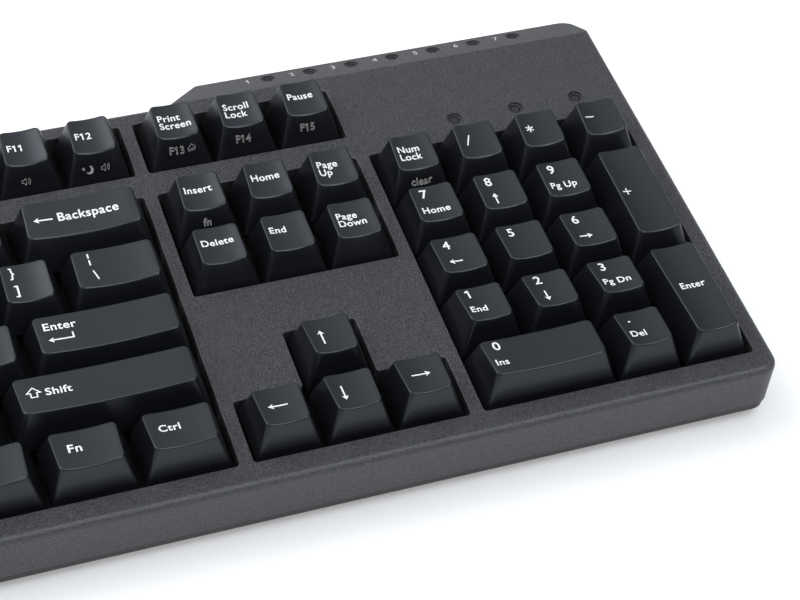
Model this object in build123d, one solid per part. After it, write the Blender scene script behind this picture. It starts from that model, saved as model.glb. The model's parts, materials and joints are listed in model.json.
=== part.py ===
from build123d import *
import os
from math import atan2, cos, degrees, radians, sin, tan

# Full-size mechanical keyboard, in millimetres.
# Two frames are used. The deck frame has its z = 0 plane on the case's top face, x = 0 and y = 0 at
# the left and front edges of the key field. The desk frame is the finished one: z = 0 is the desk,
# and DESK turns the deck frame into it by the slope of the deck.

# ---- Key field ------------------------------------------------------------------------------
UNIT = 19.05                # key pitch
FIELD_UNITS = 22.5          # width of the whole field
FUNCTION_ROW = 5.5          # front edge of the function row, in key units
NAV_X = 15.25               # left edge of the navigation block, in key units
PAD_X = 18.5                # left edge of the number pad, in key units
CAP_GAP = 0.95              # between two neighbouring keycaps
OPENING_MARGIN = 0.485      # from a block of key cells to the edge of its opening
OPENING_RADIUS = 1.0
OPENING_EDGE = 0.4

# ---- Case -----------------------------------------------------------------------------------
DECK_TILT = 4.2             # slope of the deck, degrees
FRONT_HEIGHT = 20.4         # desk to the deck's front edge
CASE_SIDE = 5.69            # key field to the outside of the case, left and right
CASE_FRONT = 7.6            # key field to the front face
CASE_REAR = 129.6           # rear face, measured from y = 0
CASE_CORNER = 5.0           # radius of the upright corners
CASE_EDGE = 2.0             # radius along the top edges
CASE_WALL = 2.5
DECK_THICKNESS = 3.0
SKIRT = 1.6                 # wall around each key opening
SEAM_HEIGHT = 6.0           # joint between the two case halves, above the desk
FLOOR_GAP = 2.0             # bottom case above the desk
FLOOR_THICKNESS = 2.2
BOTTOM_INSET = 0.5          # bottom case set in from the top case
BOTTOM_EDGE = 1.5           # chamfer along the underside
TRAY_WALL = 1.5             # ledge wall that carries the plate
TRAY_GAP = 0.25             # from the ledge wall to the top case
FIT = 0.3                   # running clearance

# ---- Battery hump ---------------------------------------------------------------------------
HUMP_LEFT = 302.4
HUMP_TAPER = 10.2           # how far the left end slants
HUMP_TAPER_RIGHT = 3.3
HUMP_DEPTH = 9.4            # behind the rear face
HUMP_SLOPE = 20.0           # of its upper face, degrees
HUMP_WALL = 2.2
HUMP_EDGE = 0.6
HUMP_CORNER = 2.5           # radius of its left rear corner
STATUS_LAMPS = 7
STATUS_X = 333.9
STATUS_PITCH = 12.92
STATUS_Y = 135.4

# ---- Switch and plate, heights from the plate's top face ----------------------------------------
PLATE_DEPTH = 8.6           # deck face to plate
PLATE_THICKNESS = 1.5
PLATE_CUTOUT = 14.0
PLATE_REAR = 124.3          # rear edge, in the deck frame
BOARD_DROP = 5.0            # plate's top face to the circuit board
BOARD_THICKNESS = 1.6
BOARD_REAR = 121.5
BOARD_CORNER = 0.4
BASE_SIZE = 13.9
FLANGE_SIZE = 15.6
FLANGE_HEIGHT = 1.0
COVER_TOP = 6.6
COVER_TOP_SIZE = 10.4
COVER_FOOT_SIZE = 14.6
SLIDER_X, SLIDER_Y = 7.2, 6.6
SLIDER_SHOULDER = 6.7
SLIDER_HEIGHT = 5.6
CROSS_HEIGHT = 3.6
CROSS_LENGTH, CROSS_ARM = 4.0, 1.15
POST_DIAMETER = 3.5
POST_LENGTH = 3.3
SPRING_RADIUS = 2.0
SPRING_WIRE = 0.35
SPRING_TURNS = 6

# ---- Keycaps, heights from the deck face ---------------------------------------------------------
CAP_RIM = -2.6
CAP_WALL = 1.5
CAP_SIDE_SLOPE = 0.30       # side faces lean in by this much per millimetre
DISH_DEPTH = 0.8
KEY_POST = 5.5
# rear inset, rear height, front inset, front height of the top face, for each row shape
PROFILES = {
    "number": (1.85, 8.9, 4.45, 7.4),
    "tab": (1.55, 7.1, 3.75, 6.8),
    "home": (1.45, 5.9, 3.35, 6.9),
    "shift": (1.85, 6.6, 3.25, 8.5),
}

# ---- Stabilizers --------------------------------------------------------------------------------
WIRE_DIAMETER = 1.3
WIRE_BACK = 8.8             # bar of the wire behind the switch centre
CLIP_END = 9.85
WIRE_HEIGHT = 0.85
CLIP_PLAY = 0.1             # wire in its clips
CLIP_HEIGHT = 1.8
WIRE_END_HEIGHT = 4.0
WIRE_STUB = 4.4
SHORT_SPAN, SPACE_SPAN = 23.8, 100.0

# ---- Lamps, screws, pads, feet -------------------------------------------------------------------
LOCK_LAMPS = ((20.0, 103.7), (21.0, 103.7), (22.0, 103.7))
LAMP_DIAMETER = 2.6
LAMP_HOLE = 3.2
LAMP_RECESS = 4.5
STATUS_DIAMETER = 2.0
STATUS_HOLE = 2.6
STATUS_RECESS = 4.2
SCREWS = ((4.0, 5.25), (8.75, 5.25), (14.75, 5.25), (15.75, 1.5), (17.75, 1.5), (19.4, 5.7))
BOSS_DIAMETER = 6.0
BOSS_END = -17.5
WELL_DIAMETER = 6.0
SEAT_THICKNESS = 2.0
SCREW_SHANK, SCREW_HEAD, SCREW_HEAD_HEIGHT, SCREW_LENGTH = 2.4, 4.8, 1.5, 11.0
PAD_SIZE = (22.0, 9.0)
PAD_RECESS = 0.6
PADS = ((-195.0, -60.0), (195.0, -60.0), (-120.0, 45.0), (120.0, 45.0))
FOOT_X = 185.0
FOOT_HINGE_Y = 49.0
FOOT_HINGE_HEIGHT = 5.6
FOOT_WIDTH, FOOT_LENGTH, FOOT_THICKNESS = 30.0, 20.0, 5.0
FOOT_PIN, FOOT_PIN_LENGTH = 2.0, 1.6
POCKET_ROOF = 1.2

# ---- Battery bay, in the desk frame --------------------------------------------------------------
CELL_DIAMETER, CELL_LENGTH = 14.2, 50.3
BAY_LEFT = 101.7
CONTACT_THICKNESS = 0.5
CONTACT_SPRING = 2.6
BAY_WALL = 1.2
BAY_TOP = 12.4
DOOR_THICKNESS = 1.8
DOOR_TONGUE = 1.0

# ---- Sockets -------------------------------------------------------------------------------------
USB_X = 286.0
USB_SIZE = (8.6, 12.9, 4.2)
POWER_X = 340.0
POWER_TRAVEL = 1.5          # each way from the middle of its slot
KNOB = (3.4, 2.6)

TILT = radians(DECK_TILT)
CENTRE_X = FIELD_UNITS * UNIT / 2
REAR = CASE_REAR + HUMP_DEPTH
DESK_RISE = FRONT_HEIGHT + CASE_FRONT * sin(TILT)
FRONTMOST = (CASE_EDGE - CASE_FRONT) * cos(TILT) + CASE_EDGE * sin(TILT) - CASE_EDGE
REARMOST = (REAR - (DESK_RISE - SEAM_HEIGHT) * -sin(TILT)) / cos(TILT)
CENTRE_Y = (FRONTMOST + REARMOST) / 2
DESK = Location((-CENTRE_X, -CENTRE_Y, DESK_RISE), (DECK_TILT, 0, 0))
LEFT, RIGHT = -CASE_SIDE, FIELD_UNITS * UNIT + CASE_SIDE
PLATE_TOP = -PLATE_DEPTH
PLATE_BOTTOM = PLATE_TOP - PLATE_THICKNESS
BOARD_TOP = PLATE_TOP - BOARD_DROP
BOARD_BOTTOM = BOARD_TOP - BOARD_THICKNESS
DEEP = 60.0                 # longer than any piece is tall

os.makedirs("parts", exist_ok=True)


# ---- Helpers -------------------------------------------------------------------------------------
def block(x, y, z):
    """A box between two x, two y and two z values."""
    size = (x[1] - x[0], y[1] - y[0], z[1] - z[0])
    return Pos(sum(x) / 2, sum(y) / 2, sum(z) / 2) * Box(*size)


def rod(x, y, z, diameter):
    """An upright cylinder between two z values."""
    return Pos(x, y, sum(z) / 2) * Cylinder(diameter / 2, z[1] - z[0])


def polyhedron(bottom, top):
    """A closed solid between two polygons with the same number of corners, in counterclockwise order."""
    corners = range(len(bottom))
    faces = [Face(Wire.make_polygon(bottom[::-1], close=True)), Face(Wire.make_polygon(top, close=True))]
    for i in corners:
        j = (i + 1) % len(bottom)
        faces.append(Face(Wire.make_polygon([bottom[i], bottom[j], top[j], top[i]], close=True)))
    return Solid(Shell(faces))


def frustum(low, low_z, high, high_z):
    """A square pyramid stump."""
    def ring(size, z):
        h = size / 2
        return [(-h, -h, z), (h, -h, z), (h, h, z), (-h, h, z)]
    return polyhedron(ring(low, low_z), ring(high, high_z))


def solids(shape):
    return list(shape.solids())


def save(name, shapes, placed=DESK):
    """Writes one node, turning its solids from the deck frame into the desk frame."""
    found = [s for shape in shapes for s in solids(shape)]
    export_step(Compound([s.moved(placed) for s in found]), f"parts/{name}.step")


def deck_height(y, height):
    """Deck-frame z of the plane at a given height above the desk, at deck-frame y."""
    return (height - DESK_RISE - y * sin(TILT)) / cos(TILT)


def below_desk_height(height):
    """Everything below a height above the desk, in the deck frame."""
    half = 400.0
    slab = block((-half, half), (-half, half), (height - DEEP * 2, height))
    return slab.moved(DESK.inverse())


# ---- Key layout ----------------------------------------------------------------------------------
def row(x, y, profile, keys):
    """Keys side by side from x: (name, width, depth) in units."""
    made = []
    for name, width in keys:
        made.append((name, x + width / 2, y + 0.5, width, 1.0, profile))
        x += width
    return made


def layout():
    """Every key as (node, x, y, width, depth, profile), in key units."""
    keys = row(0, FUNCTION_ROW, "number", [("function_keys", 1.0)])
    for start in (2.0, 6.5, 11.0):
        keys += row(start, FUNCTION_ROW, "number", [("function_keys", 1.0)] * 4)
    keys += row(0, 4, "number", [("number_row_keys", 1.0)] * 13 + [("backspace_key", 2.0)])
    tab = [("tab_row_keys", 1.5)] + [("tab_row_keys", 1.0)] * 12 + [("backslash_key", 1.5)]
    keys += row(0, 3, "tab", tab)
    home = [("home_row_keys", 1.75)] + [("home_row_keys", 1.0)] * 11 + [("enter_key", 2.25)]
    keys += row(0, 2, "home", home)
    shift = [("shift_row_keys", 2.25)] + [("shift_row_keys", 1.0)] * 10 + [("right_shift_key", 2.75)]
    keys += row(0, 1, "shift", shift)
    bottom = [("bottom_row_keys", w) for w in (1.25, 1.25, 1.25, 6.25, 1.25, 1.25, 1.25, 1.25)]
    keys += row(0, 0, "shift", bottom)
    keys += row(NAV_X, FUNCTION_ROW, "number",
                [("print_screen_key", 1.0), ("scroll_lock_key", 1.0), ("pause_key", 1.0)])
    keys += row(NAV_X, 4, "number", [("insert_key", 1.0), ("home_key", 1.0), ("page_up_key", 1.0)])
    keys += row(NAV_X, 3, "tab", [("delete_key", 1.0), ("end_key", 1.0), ("page_down_key", 1.0)])
    keys += row(NAV_X + 1, 1, "shift", [("up_arrow_key", 1.0)])
    arrows = [("left_arrow_key", 1.0), ("down_arrow_key", 1.0), ("right_arrow_key", 1.0)]
    keys += row(NAV_X, 0, "shift", arrows)
    pad = ("num_lock_key", "pad_divide_key", "pad_multiply_key", "pad_minus_key")
    keys += row(PAD_X, 4, "number", [(name, 1.0) for name in pad])
    for y, profile, names in ((3, "tab", "789"), (2, "home", "456"), (1, "shift", "123")):
        keys += row(PAD_X, y, profile, [(f"pad_{n}_key", 1.0) for n in names])
    keys += row(PAD_X, 0, "shift", [("pad_0_key", 2.0), ("pad_point_key", 1.0)])
    keys.append(("pad_plus_key", PAD_X + 3.5, 3.0, 1.0, 2.0, "tab"))
    keys.append(("pad_enter_key", PAD_X + 3.5, 1.0, 1.0, 2.0, "shift"))
    return keys


KEYS = layout()


def wire_span(width, depth):
    """Distance between a wide key's two stabilizer inserts, or 0 for a key without them."""
    length = max(width, depth)
    if length < 2:
        return 0
    return SPACE_SPAN if length > 5 else SHORT_SPAN


def stabilized():
    """(x, y, span, turn) of each wide key, in millimetres and degrees."""
    found = []
    for name, x, y, width, depth, profile in KEYS:
        span = wire_span(width, depth)
        if span:
            found.append((x * UNIT, y * UNIT, span, 90 if depth > width else 0))
    return found


def at_keys(shape):
    """A copy of one switch piece at every key."""
    return [shape.moved(Location((x * UNIT, y * UNIT, 0))) for _, x, y, *_ in KEYS]


# ---- Key switch ----------------------------------------------------------------------------------
def switch_base():
    floor = PLATE_TOP - BOARD_DROP
    half, flange, cavity = BASE_SIZE / 2, FLANGE_SIZE / 2, 6.15
    body = block((-half, half), (-half, half), (floor, PLATE_TOP))
    body += block((-flange, flange), (-flange, flange), (PLATE_TOP, PLATE_TOP + FLANGE_HEIGHT))
    body -= block((-cavity, cavity), (-cavity, cavity), (floor + 1.0, PLATE_TOP + FLANGE_HEIGHT))
    body += block((-1, 1), (-1, 1), (floor + 1.0, floor + 2.5))
    body += rod(0, 0, (floor - POST_LENGTH, floor), POST_DIAMETER)
    return body


def switch_cover():
    foot, top = PLATE_TOP + FLANGE_HEIGHT, PLATE_TOP + COVER_TOP
    skin, ceiling = 1.1, 1.2
    body = frustum(COVER_FOOT_SIZE, foot, COVER_TOP_SIZE, top)
    lean = (COVER_FOOT_SIZE - COVER_TOP_SIZE) / (top - foot)
    inner_top = COVER_TOP_SIZE + lean * ceiling - 2 * skin
    body -= frustum(COVER_FOOT_SIZE - 2 * skin, foot, inner_top, top - ceiling)
    x, y = SLIDER_X / 2 + FIT, SLIDER_Y / 2 + FIT
    return body - block((-x, x), (-y, y), (foot, top))


def switch_slider():
    shoulder = PLATE_TOP + SLIDER_SHOULDER
    foot = shoulder - SLIDER_HEIGHT
    x, y = SLIDER_X / 2, SLIDER_Y / 2
    long, arm = CROSS_LENGTH / 2, CROSS_ARM / 2
    body = block((-x, x), (-y, y), (foot, shoulder))
    body += block((-long, long), (-arm, arm), (shoulder, shoulder + CROSS_HEIGHT))
    body += block((-arm, arm), (-long, long), (shoulder, shoulder + CROSS_HEIGHT))
    bore = SPRING_RADIUS + SPRING_WIRE + FIT
    return body - block((-bore, bore), (-bore, bore), (foot, foot + 3.5))


def switch_spring():
    low = PLATE_TOP - BOARD_DROP + 1.0 + FIT + SPRING_WIRE / 2
    high = PLATE_TOP + SLIDER_SHOULDER - SLIDER_HEIGHT + 3.5 - FIT - SPRING_WIRE / 2
    helix = Helix(pitch=(high - low) / SPRING_TURNS, height=high - low, radius=SPRING_RADIUS)
    section = Plane(origin=helix @ 0, z_dir=helix % 0) * Rectangle(SPRING_WIRE, SPRING_WIRE)
    return sweep(section, path=helix, is_frenet=True).moved(Location((0, 0, low)))


# ---- Keycaps -------------------------------------------------------------------------------------
def cap_block(width, depth, profile, inset, drop, low):
    """The keycap's outer block, or its hollow when it is inset and dropped."""
    rear_inset, rear_z, front_inset, front_z = PROFILES[profile]
    half_x = (width * UNIT - CAP_GAP) / 2 - inset
    half_y = (depth * UNIT - CAP_GAP) / 2 - inset

    def edge(z, side):
        """Half width, and y of the front or rear face, at height z."""
        rise = z - CAP_RIM
        lean = rear_inset / (rear_z - CAP_RIM) if side > 0 else front_inset / (front_z - CAP_RIM)
        return half_x - CAP_SIDE_SLOPE * rise, side * (half_y - lean * rise), z

    def ring(front, rear):
        (fx, fy, fz), (rx, ry, rz) = edge(front, -1), edge(rear, 1)
        return [(-fx, fy, fz), (fx, fy, fz), (rx, ry, rz), (-rx, ry, rz)]
    return polyhedron(ring(low, low), ring(front_z - drop, rear_z - drop))


def dish(width, depth, profile):
    """The cylinder whose side hollows the top of a keycap from left to right."""
    rear_inset, rear_z, front_inset, front_z = PROFILES[profile]
    mid = (rear_z + front_z) / 2
    top_width = width * UNIT - CAP_GAP - 2 * CAP_SIDE_SLOPE * (mid - CAP_RIM)
    radius = top_width**2 / (8 * DISH_DEPTH)
    half_y = (depth * UNIT - CAP_GAP) / 2
    run = 2 * half_y - rear_inset - front_inset
    lean = degrees(atan2(rear_z - front_z, run))
    middle = (front_inset - rear_inset) / 2
    axis = Pos(0, middle, mid - DISH_DEPTH) * Rot(lean, 0, 0) * Pos(0, 0, radius) * Rot(90, 0, 0)
    return axis * Cylinder(radius, 3 * half_y)


def keycap(width, depth, profile):
    _, rear_z, _, front_z = PROFILES[profile]
    ceiling = min(rear_z, front_z) - DISH_DEPTH
    body = cap_block(width, depth, profile, 0, 0, CAP_RIM)
    body -= cap_block(width, depth, profile, CAP_WALL, CAP_WALL + DISH_DEPTH, CAP_RIM - 1.0)
    foot = PLATE_TOP + SLIDER_SHOULDER
    post = rod(0, 0, (foot, ceiling), KEY_POST)
    long, arm, deep = CROSS_LENGTH / 2 + 0.1, CROSS_ARM / 2 + 0.1, foot + CROSS_HEIGHT + 0.2
    post -= block((-long, long), (-arm, arm), (foot, deep))
    post -= block((-arm, arm), (-long, long), (foot, deep))
    body += post
    span = wire_span(width, depth)
    if span:
        for side in (-1, 1):
            insert = stabilizer_insert(ceiling).moved(Location((side * span / 2, 0, 0)))
            if depth > width:
                insert = insert.moved(Location((0, 0, 0), (0, 0, 90)))
            body += insert
    if width < 5:
        body -= dish(width, depth, profile)
    return body


def stabilizer_insert(ceiling):
    """The post under a wide key that holds one end of the wire."""
    low, wire = PLATE_TOP + 2.4, PLATE_TOP + WIRE_END_HEIGHT
    gap = WIRE_DIAMETER / 2 + FIT
    post = block((-1.7, 1.7), (-1.8, 1.8), (low, ceiling))
    return post - block((-1.7, 1.7), (-gap, gap), (wire - gap, wire + gap))


def key(width, depth, profile):
    return [keycap(width, depth, profile), switch_slider()]


# ---- Stabilizers ---------------------------------------------------------------------------------
def stabilizer_wire(span):
    """The bar lies behind the switch, and each arm rises to its insert."""
    arm = span / 2 - WIRE_STUB / 2 - WIRE_DIAMETER / 2
    end = span / 2 + 1.4
    low, high = PLATE_TOP + WIRE_HEIGHT, PLATE_TOP + WIRE_END_HEIGHT
    corners = [(-end, 0, high), (-arm, 0, high), (-arm, WIRE_BACK, low)]
    corners += [(-x, y, z) for x, y, z in reversed(corners)]
    path = FilletPolyline(*corners, radius=1.0)
    section = Plane(origin=path @ 0, z_dir=path % 0) * Circle(WIRE_DIAMETER / 2)
    return sweep(section, path=path)


def stabilizer_clips(span):
    place = 6.0 if span < 50 else 30.0
    wire = Pos(0, WIRE_BACK, PLATE_TOP + WIRE_HEIGHT) * Rot(0, 90, 0)
    heights = (PLATE_TOP, PLATE_TOP + CLIP_HEIGHT)
    made = []
    for side in (-1, 1):
        x = side * place
        clip = block((x - 1.5, x + 1.5), (FLANGE_SIZE / 2 + 0.05, CLIP_END), heights)
        made.append(clip - wire * Cylinder(WIRE_DIAMETER / 2 + CLIP_PLAY, 2 * place + 20))
    return made


def at_wide_keys(make):
    made = []
    for x, y, span, turn in stabilized():
        place = Location((x, y, 0), (0, 0, turn))
        made += [s.moved(place) for s in make(span)]
    return made


# ---- Case outlines, in the deck frame ------------------------------------------------------------
def case_outline(inset):
    """Plan of the case with its battery hump."""
    width, depth = RIGHT - LEFT, CASE_REAR + CASE_FRONT
    main = RectangleRounded(width, depth, CASE_CORNER)
    main = Pos((LEFT + RIGHT) / 2, (CASE_REAR - CASE_FRONT) / 2) * main
    root = CASE_REAR - 2 * CASE_CORNER
    hump = Polyline((HUMP_LEFT, root), (RIGHT, root), (RIGHT, CASE_REAR),
                    (RIGHT - HUMP_TAPER_RIGHT, REAR), (HUMP_LEFT + HUMP_TAPER, REAR),
                    (HUMP_LEFT, CASE_REAR), (HUMP_LEFT, root))
    hump = make_face(hump)
    corners = hump.vertices().sort_by(Axis.Y)[-2:].sort_by(Axis.X)
    hump = fillet(corners[0], HUMP_CORNER)
    hump = fillet(hump.vertices().group_by(Axis.Y)[-1].sort_by(Axis.X)[-1], CASE_CORNER)
    outline = main + hump
    return offset(outline, amount=-inset, kind=Kind.INTERSECTION) if inset else outline


def prism(sketch, z):
    return Pos(0, 0, z[0]) * extrude(sketch, amount=z[1] - z[0])


def hump_wedge(drop):
    """What lies above the hump's sloping face, or above a face lowered by drop."""
    run = 40.0
    fall = run * tan(radians(HUMP_SLOPE))
    side = Polyline((CASE_REAR, -drop), (CASE_REAR + run, -drop - fall), (CASE_REAR + run, 10),
                    (CASE_REAR, 10), (CASE_REAR, -drop))
    wedge = extrude(Plane.YZ * make_face(side), amount=RIGHT - HUMP_LEFT + 40)
    return Pos(HUMP_LEFT - 20, 0, 0) * wedge


def key_blocks():
    """Plan rectangles of the key blocks, in key units: the arrows are two of them."""
    function = [(0, 1), (2, 6), (6.5, 10.5), (11, 15), (NAV_X, NAV_X + 3)]
    blocks = [[(a, FUNCTION_ROW, b, FUNCTION_ROW + 1)] for a, b in function]
    blocks.append([(0, 0, 15, 5)])
    blocks.append([(NAV_X, 3, NAV_X + 3, 5)])
    blocks.append([(NAV_X, 0, NAV_X + 3, 1), (NAV_X + 1, 0, NAV_X + 2, 2)])
    blocks.append([(PAD_X, 0, PAD_X + 4, 5)])
    return blocks


def opening(rectangles, margin):
    """Plan of one key opening, its corners rounded."""
    sketch = Sketch()
    for x0, y0, x1, y1 in rectangles:
        size = ((x1 - x0) * UNIT + 2 * margin, (y1 - y0) * UNIT + 2 * margin)
        sketch += Pos((x0 + x1) / 2 * UNIT, (y0 + y1) / 2 * UNIT) * Rectangle(*size)
    return fillet(sketch.vertices(), OPENING_RADIUS)


def screw_places():
    return [(x * UNIT, y * UNIT) for x, y in SCREWS]


def status_places():
    return [(STATUS_X + i * STATUS_PITCH, STATUS_Y) for i in range(STATUS_LAMPS)]


def slope_height(y):
    return -(y - CASE_REAR) * tan(radians(HUMP_SLOPE))


# ---- Case ----------------------------------------------------------------------------------------
def top_case():
    shell = prism(case_outline(0), (-DEEP, 0)) - hump_wedge(0)
    shell = fillet(shell.edges().filter_by(is_deck_rim), CASE_EDGE)
    shell = fillet(shell.edges().filter_by(is_slope_rim), HUMP_EDGE)
    cavity = prism(case_outline(CASE_WALL), (-DEEP - 1, -DECK_THICKNESS))
    shell -= cavity - hump_wedge(HUMP_WALL / cos(radians(HUMP_SLOPE)))
    for x, y in screw_places():
        shell += rod(x, y, (BOSS_END, -DECK_THICKNESS), BOSS_DIAMETER)
    for x in (STATUS_X - 4.5, STATUS_X + (STATUS_LAMPS - 1) * STATUS_PITCH + 4.5):
        shell += rod(x, STATUS_Y - 3.5, (STATUS_BOARD_TOP, slope_height(STATUS_Y) - 1.0), 4.0)
    skirt_end = PLATE_TOP + FIT
    for rectangles in key_blocks():
        shell += prism(opening(rectangles, OPENING_MARGIN + SKIRT), (skirt_end, -DECK_THICKNESS))
    for rectangles in key_blocks():
        shell -= prism(opening(rectangles, OPENING_MARGIN), (skirt_end, 0))
    shell = fillet(shell.edges().filter_by(in_key_field), OPENING_EDGE)
    for x, y in screw_places():
        shell -= rod(x, y, (BOSS_END, BOSS_END + SCREW_LENGTH), SCREW_SHANK + 2 * FIT)
    for x, y in LOCK_LAMPS:
        shell -= rod(x * UNIT, y, (-DECK_THICKNESS, 0), LAMP_HOLE)
        shell -= rod(x * UNIT, y, (-0.6, 0), LAMP_RECESS)
    for x, y in status_places():
        top = Pos(x, y, slope_height(y)) * Rot(-HUMP_SLOPE, 0, 0)
        shell -= top * Cylinder(STATUS_RECESS / 2, 1.0)
        shell -= rod(x, y, (slope_height(y) - 4, 0), STATUS_HOLE)
    x, _, z = USB_SIZE
    low = BOARD_BOTTOM - z
    shell -= block((USB_X - x / 2 - 1, USB_X + x / 2 + 1), (CASE_REAR - 5, CASE_REAR),
                   (low - 1, BOARD_BOTTOM + 1))
    slot_x, slot_z = KNOB[0] / 2 + POWER_TRAVEL + FIT, KNOB[1] / 2 + FIT
    shell -= block((POWER_X - slot_x, POWER_X + slot_x), (REAR - 5, REAR),
                   (KNOB_HEIGHT - slot_z, KNOB_HEIGHT + slot_z))
    return shell - below_desk_height(SEAM_HEIGHT)


def is_deck_rim(edge):
    """On the deck's outline, but not on the crease above the hump."""
    centre = edge.center()
    crease = centre.Y > CASE_REAR - 0.01 and centre.X > HUMP_LEFT
    return abs(centre.Z) < 0.01 and not crease


def is_slope_rim(edge):
    """On the outline of the hump's sloping face."""
    centre = edge.center()
    return centre.Y > CASE_REAR + 0.5 and abs(centre.Z - slope_height(centre.Y)) < 0.05


def in_key_field(edge):
    """On the upper edge of a key opening."""
    centre = edge.center()
    if abs(centre.Z) > 0.01:
        return False
    return -1 < centre.X < FIELD_UNITS * UNIT + 1 and -1 < centre.Y < (FUNCTION_ROW + 1) * UNIT + 1


STATUS_BOARD_TOP = -6.3
KNOB_HEIGHT = -9.4


def inner_plan(gap, rear, radius):
    """Plan of a flat piece inside the case: its gap to the case's outside, its rear edge, its corners."""
    x0, x1, y0 = LEFT + gap, RIGHT - gap, gap - CASE_FRONT
    return Pos((x0 + x1) / 2, (y0 + rear) / 2) * RectangleRounded(x1 - x0, rear - y0, radius)


def tray_ring(inset):
    """Plan of the ledge wall's outside, set in from the inside of the top case."""
    gap = CASE_WALL + TRAY_GAP + inset
    return inner_plan(gap, PLATE_REAR - inset, CASE_CORNER - gap)


def bay_centre():
    """Desk-frame y and z of the cells' axis."""
    z = FLOOR_GAP + DOOR_THICKNESS + 0.5 + CELL_DIAMETER / 2
    inner = REAR - CASE_WALL
    at_cell = inner * cos(TILT) - deck_height(inner, z) * sin(TILT) - CENTRE_Y
    return at_cell - 1.45 - FIT - CELL_DIAMETER / 2, z


def bay_x():
    """Desk-frame x of the bay's two ends."""
    return BAY_LEFT, BAY_LEFT + 2 * CELL_LENGTH + 2 * (CONTACT_THICKNESS + CONTACT_SPRING)


def bottom_outer():
    """The bottom case's outside, in the desk frame."""
    body = prism(case_outline(BOTTOM_INSET), (-DEEP, 0)).moved(DESK)
    half = 300.0
    body = body & block((-half, half), (-half, half), (FLOOR_GAP, SEAM_HEIGHT))
    edges = body.edges().filter_by(lambda e: abs(e.center().Z - FLOOR_GAP) < 0.01)
    return chamfer(edges, BOTTOM_EDGE)


def door_span():
    left, right = bay_x()
    return left + 1.5, right - 1.5


def foot_pocket(x):
    """The recess that a folded foot lies in, and the walls around it."""
    half = FOOT_WIDTH / 2 + FIT
    front = FOOT_HINGE_Y - FOOT_LENGTH - 1.0
    rear = FOOT_HINGE_Y + FOOT_THICKNESS / 2 + 0.8
    roof = FOOT_HINGE_HEIGHT + FOOT_THICKNESS / 2 + 0.8
    hollow = block((x - half, x + half), (front, rear), (FLOOR_GAP - 1, roof))
    wall = FOOT_PIN_LENGTH + 0.8
    walls = block((x - half - wall, x + half + wall), (front - 1.2, rear + 1.2),
                  (FLOOR_GAP + FLOOR_THICKNESS, roof + POCKET_ROOF))
    reach = half + FOOT_PIN_LENGTH + FIT
    pin = Pos(x, FOOT_HINGE_Y, FOOT_HINGE_HEIGHT) * Rot(0, 90, 0) * Cylinder(FOOT_PIN / 2 + FIT, 2 * reach)
    return walls, hollow + pin


def bottom_case(outer):
    half = 300.0
    cavity = prism(case_outline(CASE_WALL + TRAY_GAP), (-DEEP, 0)).moved(DESK)
    cavity = cavity & block((-half, half), (-half, half), (FLOOR_GAP + FLOOR_THICKNESS, DEEP))
    body = outer - cavity
    ring = prism(tray_ring(0), (-DEEP, PLATE_BOTTOM)) - prism(tray_ring(TRAY_WALL), (-DEEP, PLATE_BOTTOM))
    ring -= block((HUMP_LEFT + 2, RIGHT - CASE_WALL - 2.5), (121, 126), (-DEEP, 0))
    ring -= block((USB_X - 6, USB_X + 6), (121, 126), (-DEEP, 0))
    ring = ring.moved(DESK)
    body += ring & block((-half, half), (-half, half), (FLOOR_GAP + FLOOR_THICKNESS - 0.5, DEEP))
    wells = []
    for x, y in screw_places():
        foot = deck_height(y, FLOOR_GAP + FLOOR_THICKNESS / 2)
        body += rod(x, y, (foot, BOSS_END), WELL_DIAMETER + 3).moved(DESK)
        wells.append(rod(x, y, (foot - 5, BOSS_END - SEAT_THICKNESS), WELL_DIAMETER).moved(DESK))
        wells.append(rod(x, y, (foot, BOSS_END), SCREW_SHANK + 2 * FIT).moved(DESK))
    for x in (-FOOT_X, FOOT_X):
        walls, hollow = foot_pocket(x)
        body += walls
        wells.append(hollow)
    body += battery_bay()
    left, right = door_span()
    y, _ = bay_centre()
    front = y - CELL_DIAMETER / 2 + 1.0
    wells.append(block((left, right), (front, half), (FLOOR_GAP - 1, SEAM_HEIGHT + FIT / 3)))
    groove = (FLOOR_GAP + 0.4, FLOOR_GAP + 1.6)
    wells.append(block((left - DOOR_TONGUE - FIT, right + DOOR_TONGUE + FIT), (front, half), groove))
    for x, y in PADS:
        w, d = PAD_SIZE
        wells.append(block((x - w / 2, x + w / 2), (y - d / 2, y + d / 2), (FLOOR_GAP - 1, FLOOR_GAP + PAD_RECESS)))
    for well in wells:
        body -= well
    return body


def battery_bay():
    """Low walls around the cells, open below to the door."""
    left, right = bay_x()
    y, _ = bay_centre()
    front, rear = y - CELL_DIAMETER / 2 - FIT, y + CELL_DIAMETER / 2 + FIT
    base = FLOOR_GAP + FLOOR_THICKNESS
    walls = block((left - BAY_WALL, right + BAY_WALL), (front - BAY_WALL, rear + BAY_WALL), (base - 0.5, BAY_TOP))
    walls -= block((left, right), (front, rear), (base - 0.5, BAY_TOP))
    door_left, door_right = door_span()
    return walls - block((door_left, door_right), (front, rear + 5), (base - 0.5, SEAM_HEIGHT + FIT / 3))


def battery_door(outer):
    left, right = door_span()
    y, _ = bay_centre()
    front = y - CELL_DIAMETER / 2 + 1.0 + FIT
    half = 300.0
    top = FLOOR_GAP + DOOR_THICKNESS
    body = outer & block((left + FIT, right - FIT), (front, half), (0, SEAM_HEIGHT - FIT / 3))
    rear = body.bounding_box().max.Y
    body -= block((left, right), (front - 1, rear - 2.2), (top, DEEP))
    tongue = (FLOOR_GAP + 0.7, FLOOR_GAP + 1.3)
    return body + block((left - DOOR_TONGUE, right + DOOR_TONGUE), (front, rear - 4), tongue)


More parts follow.
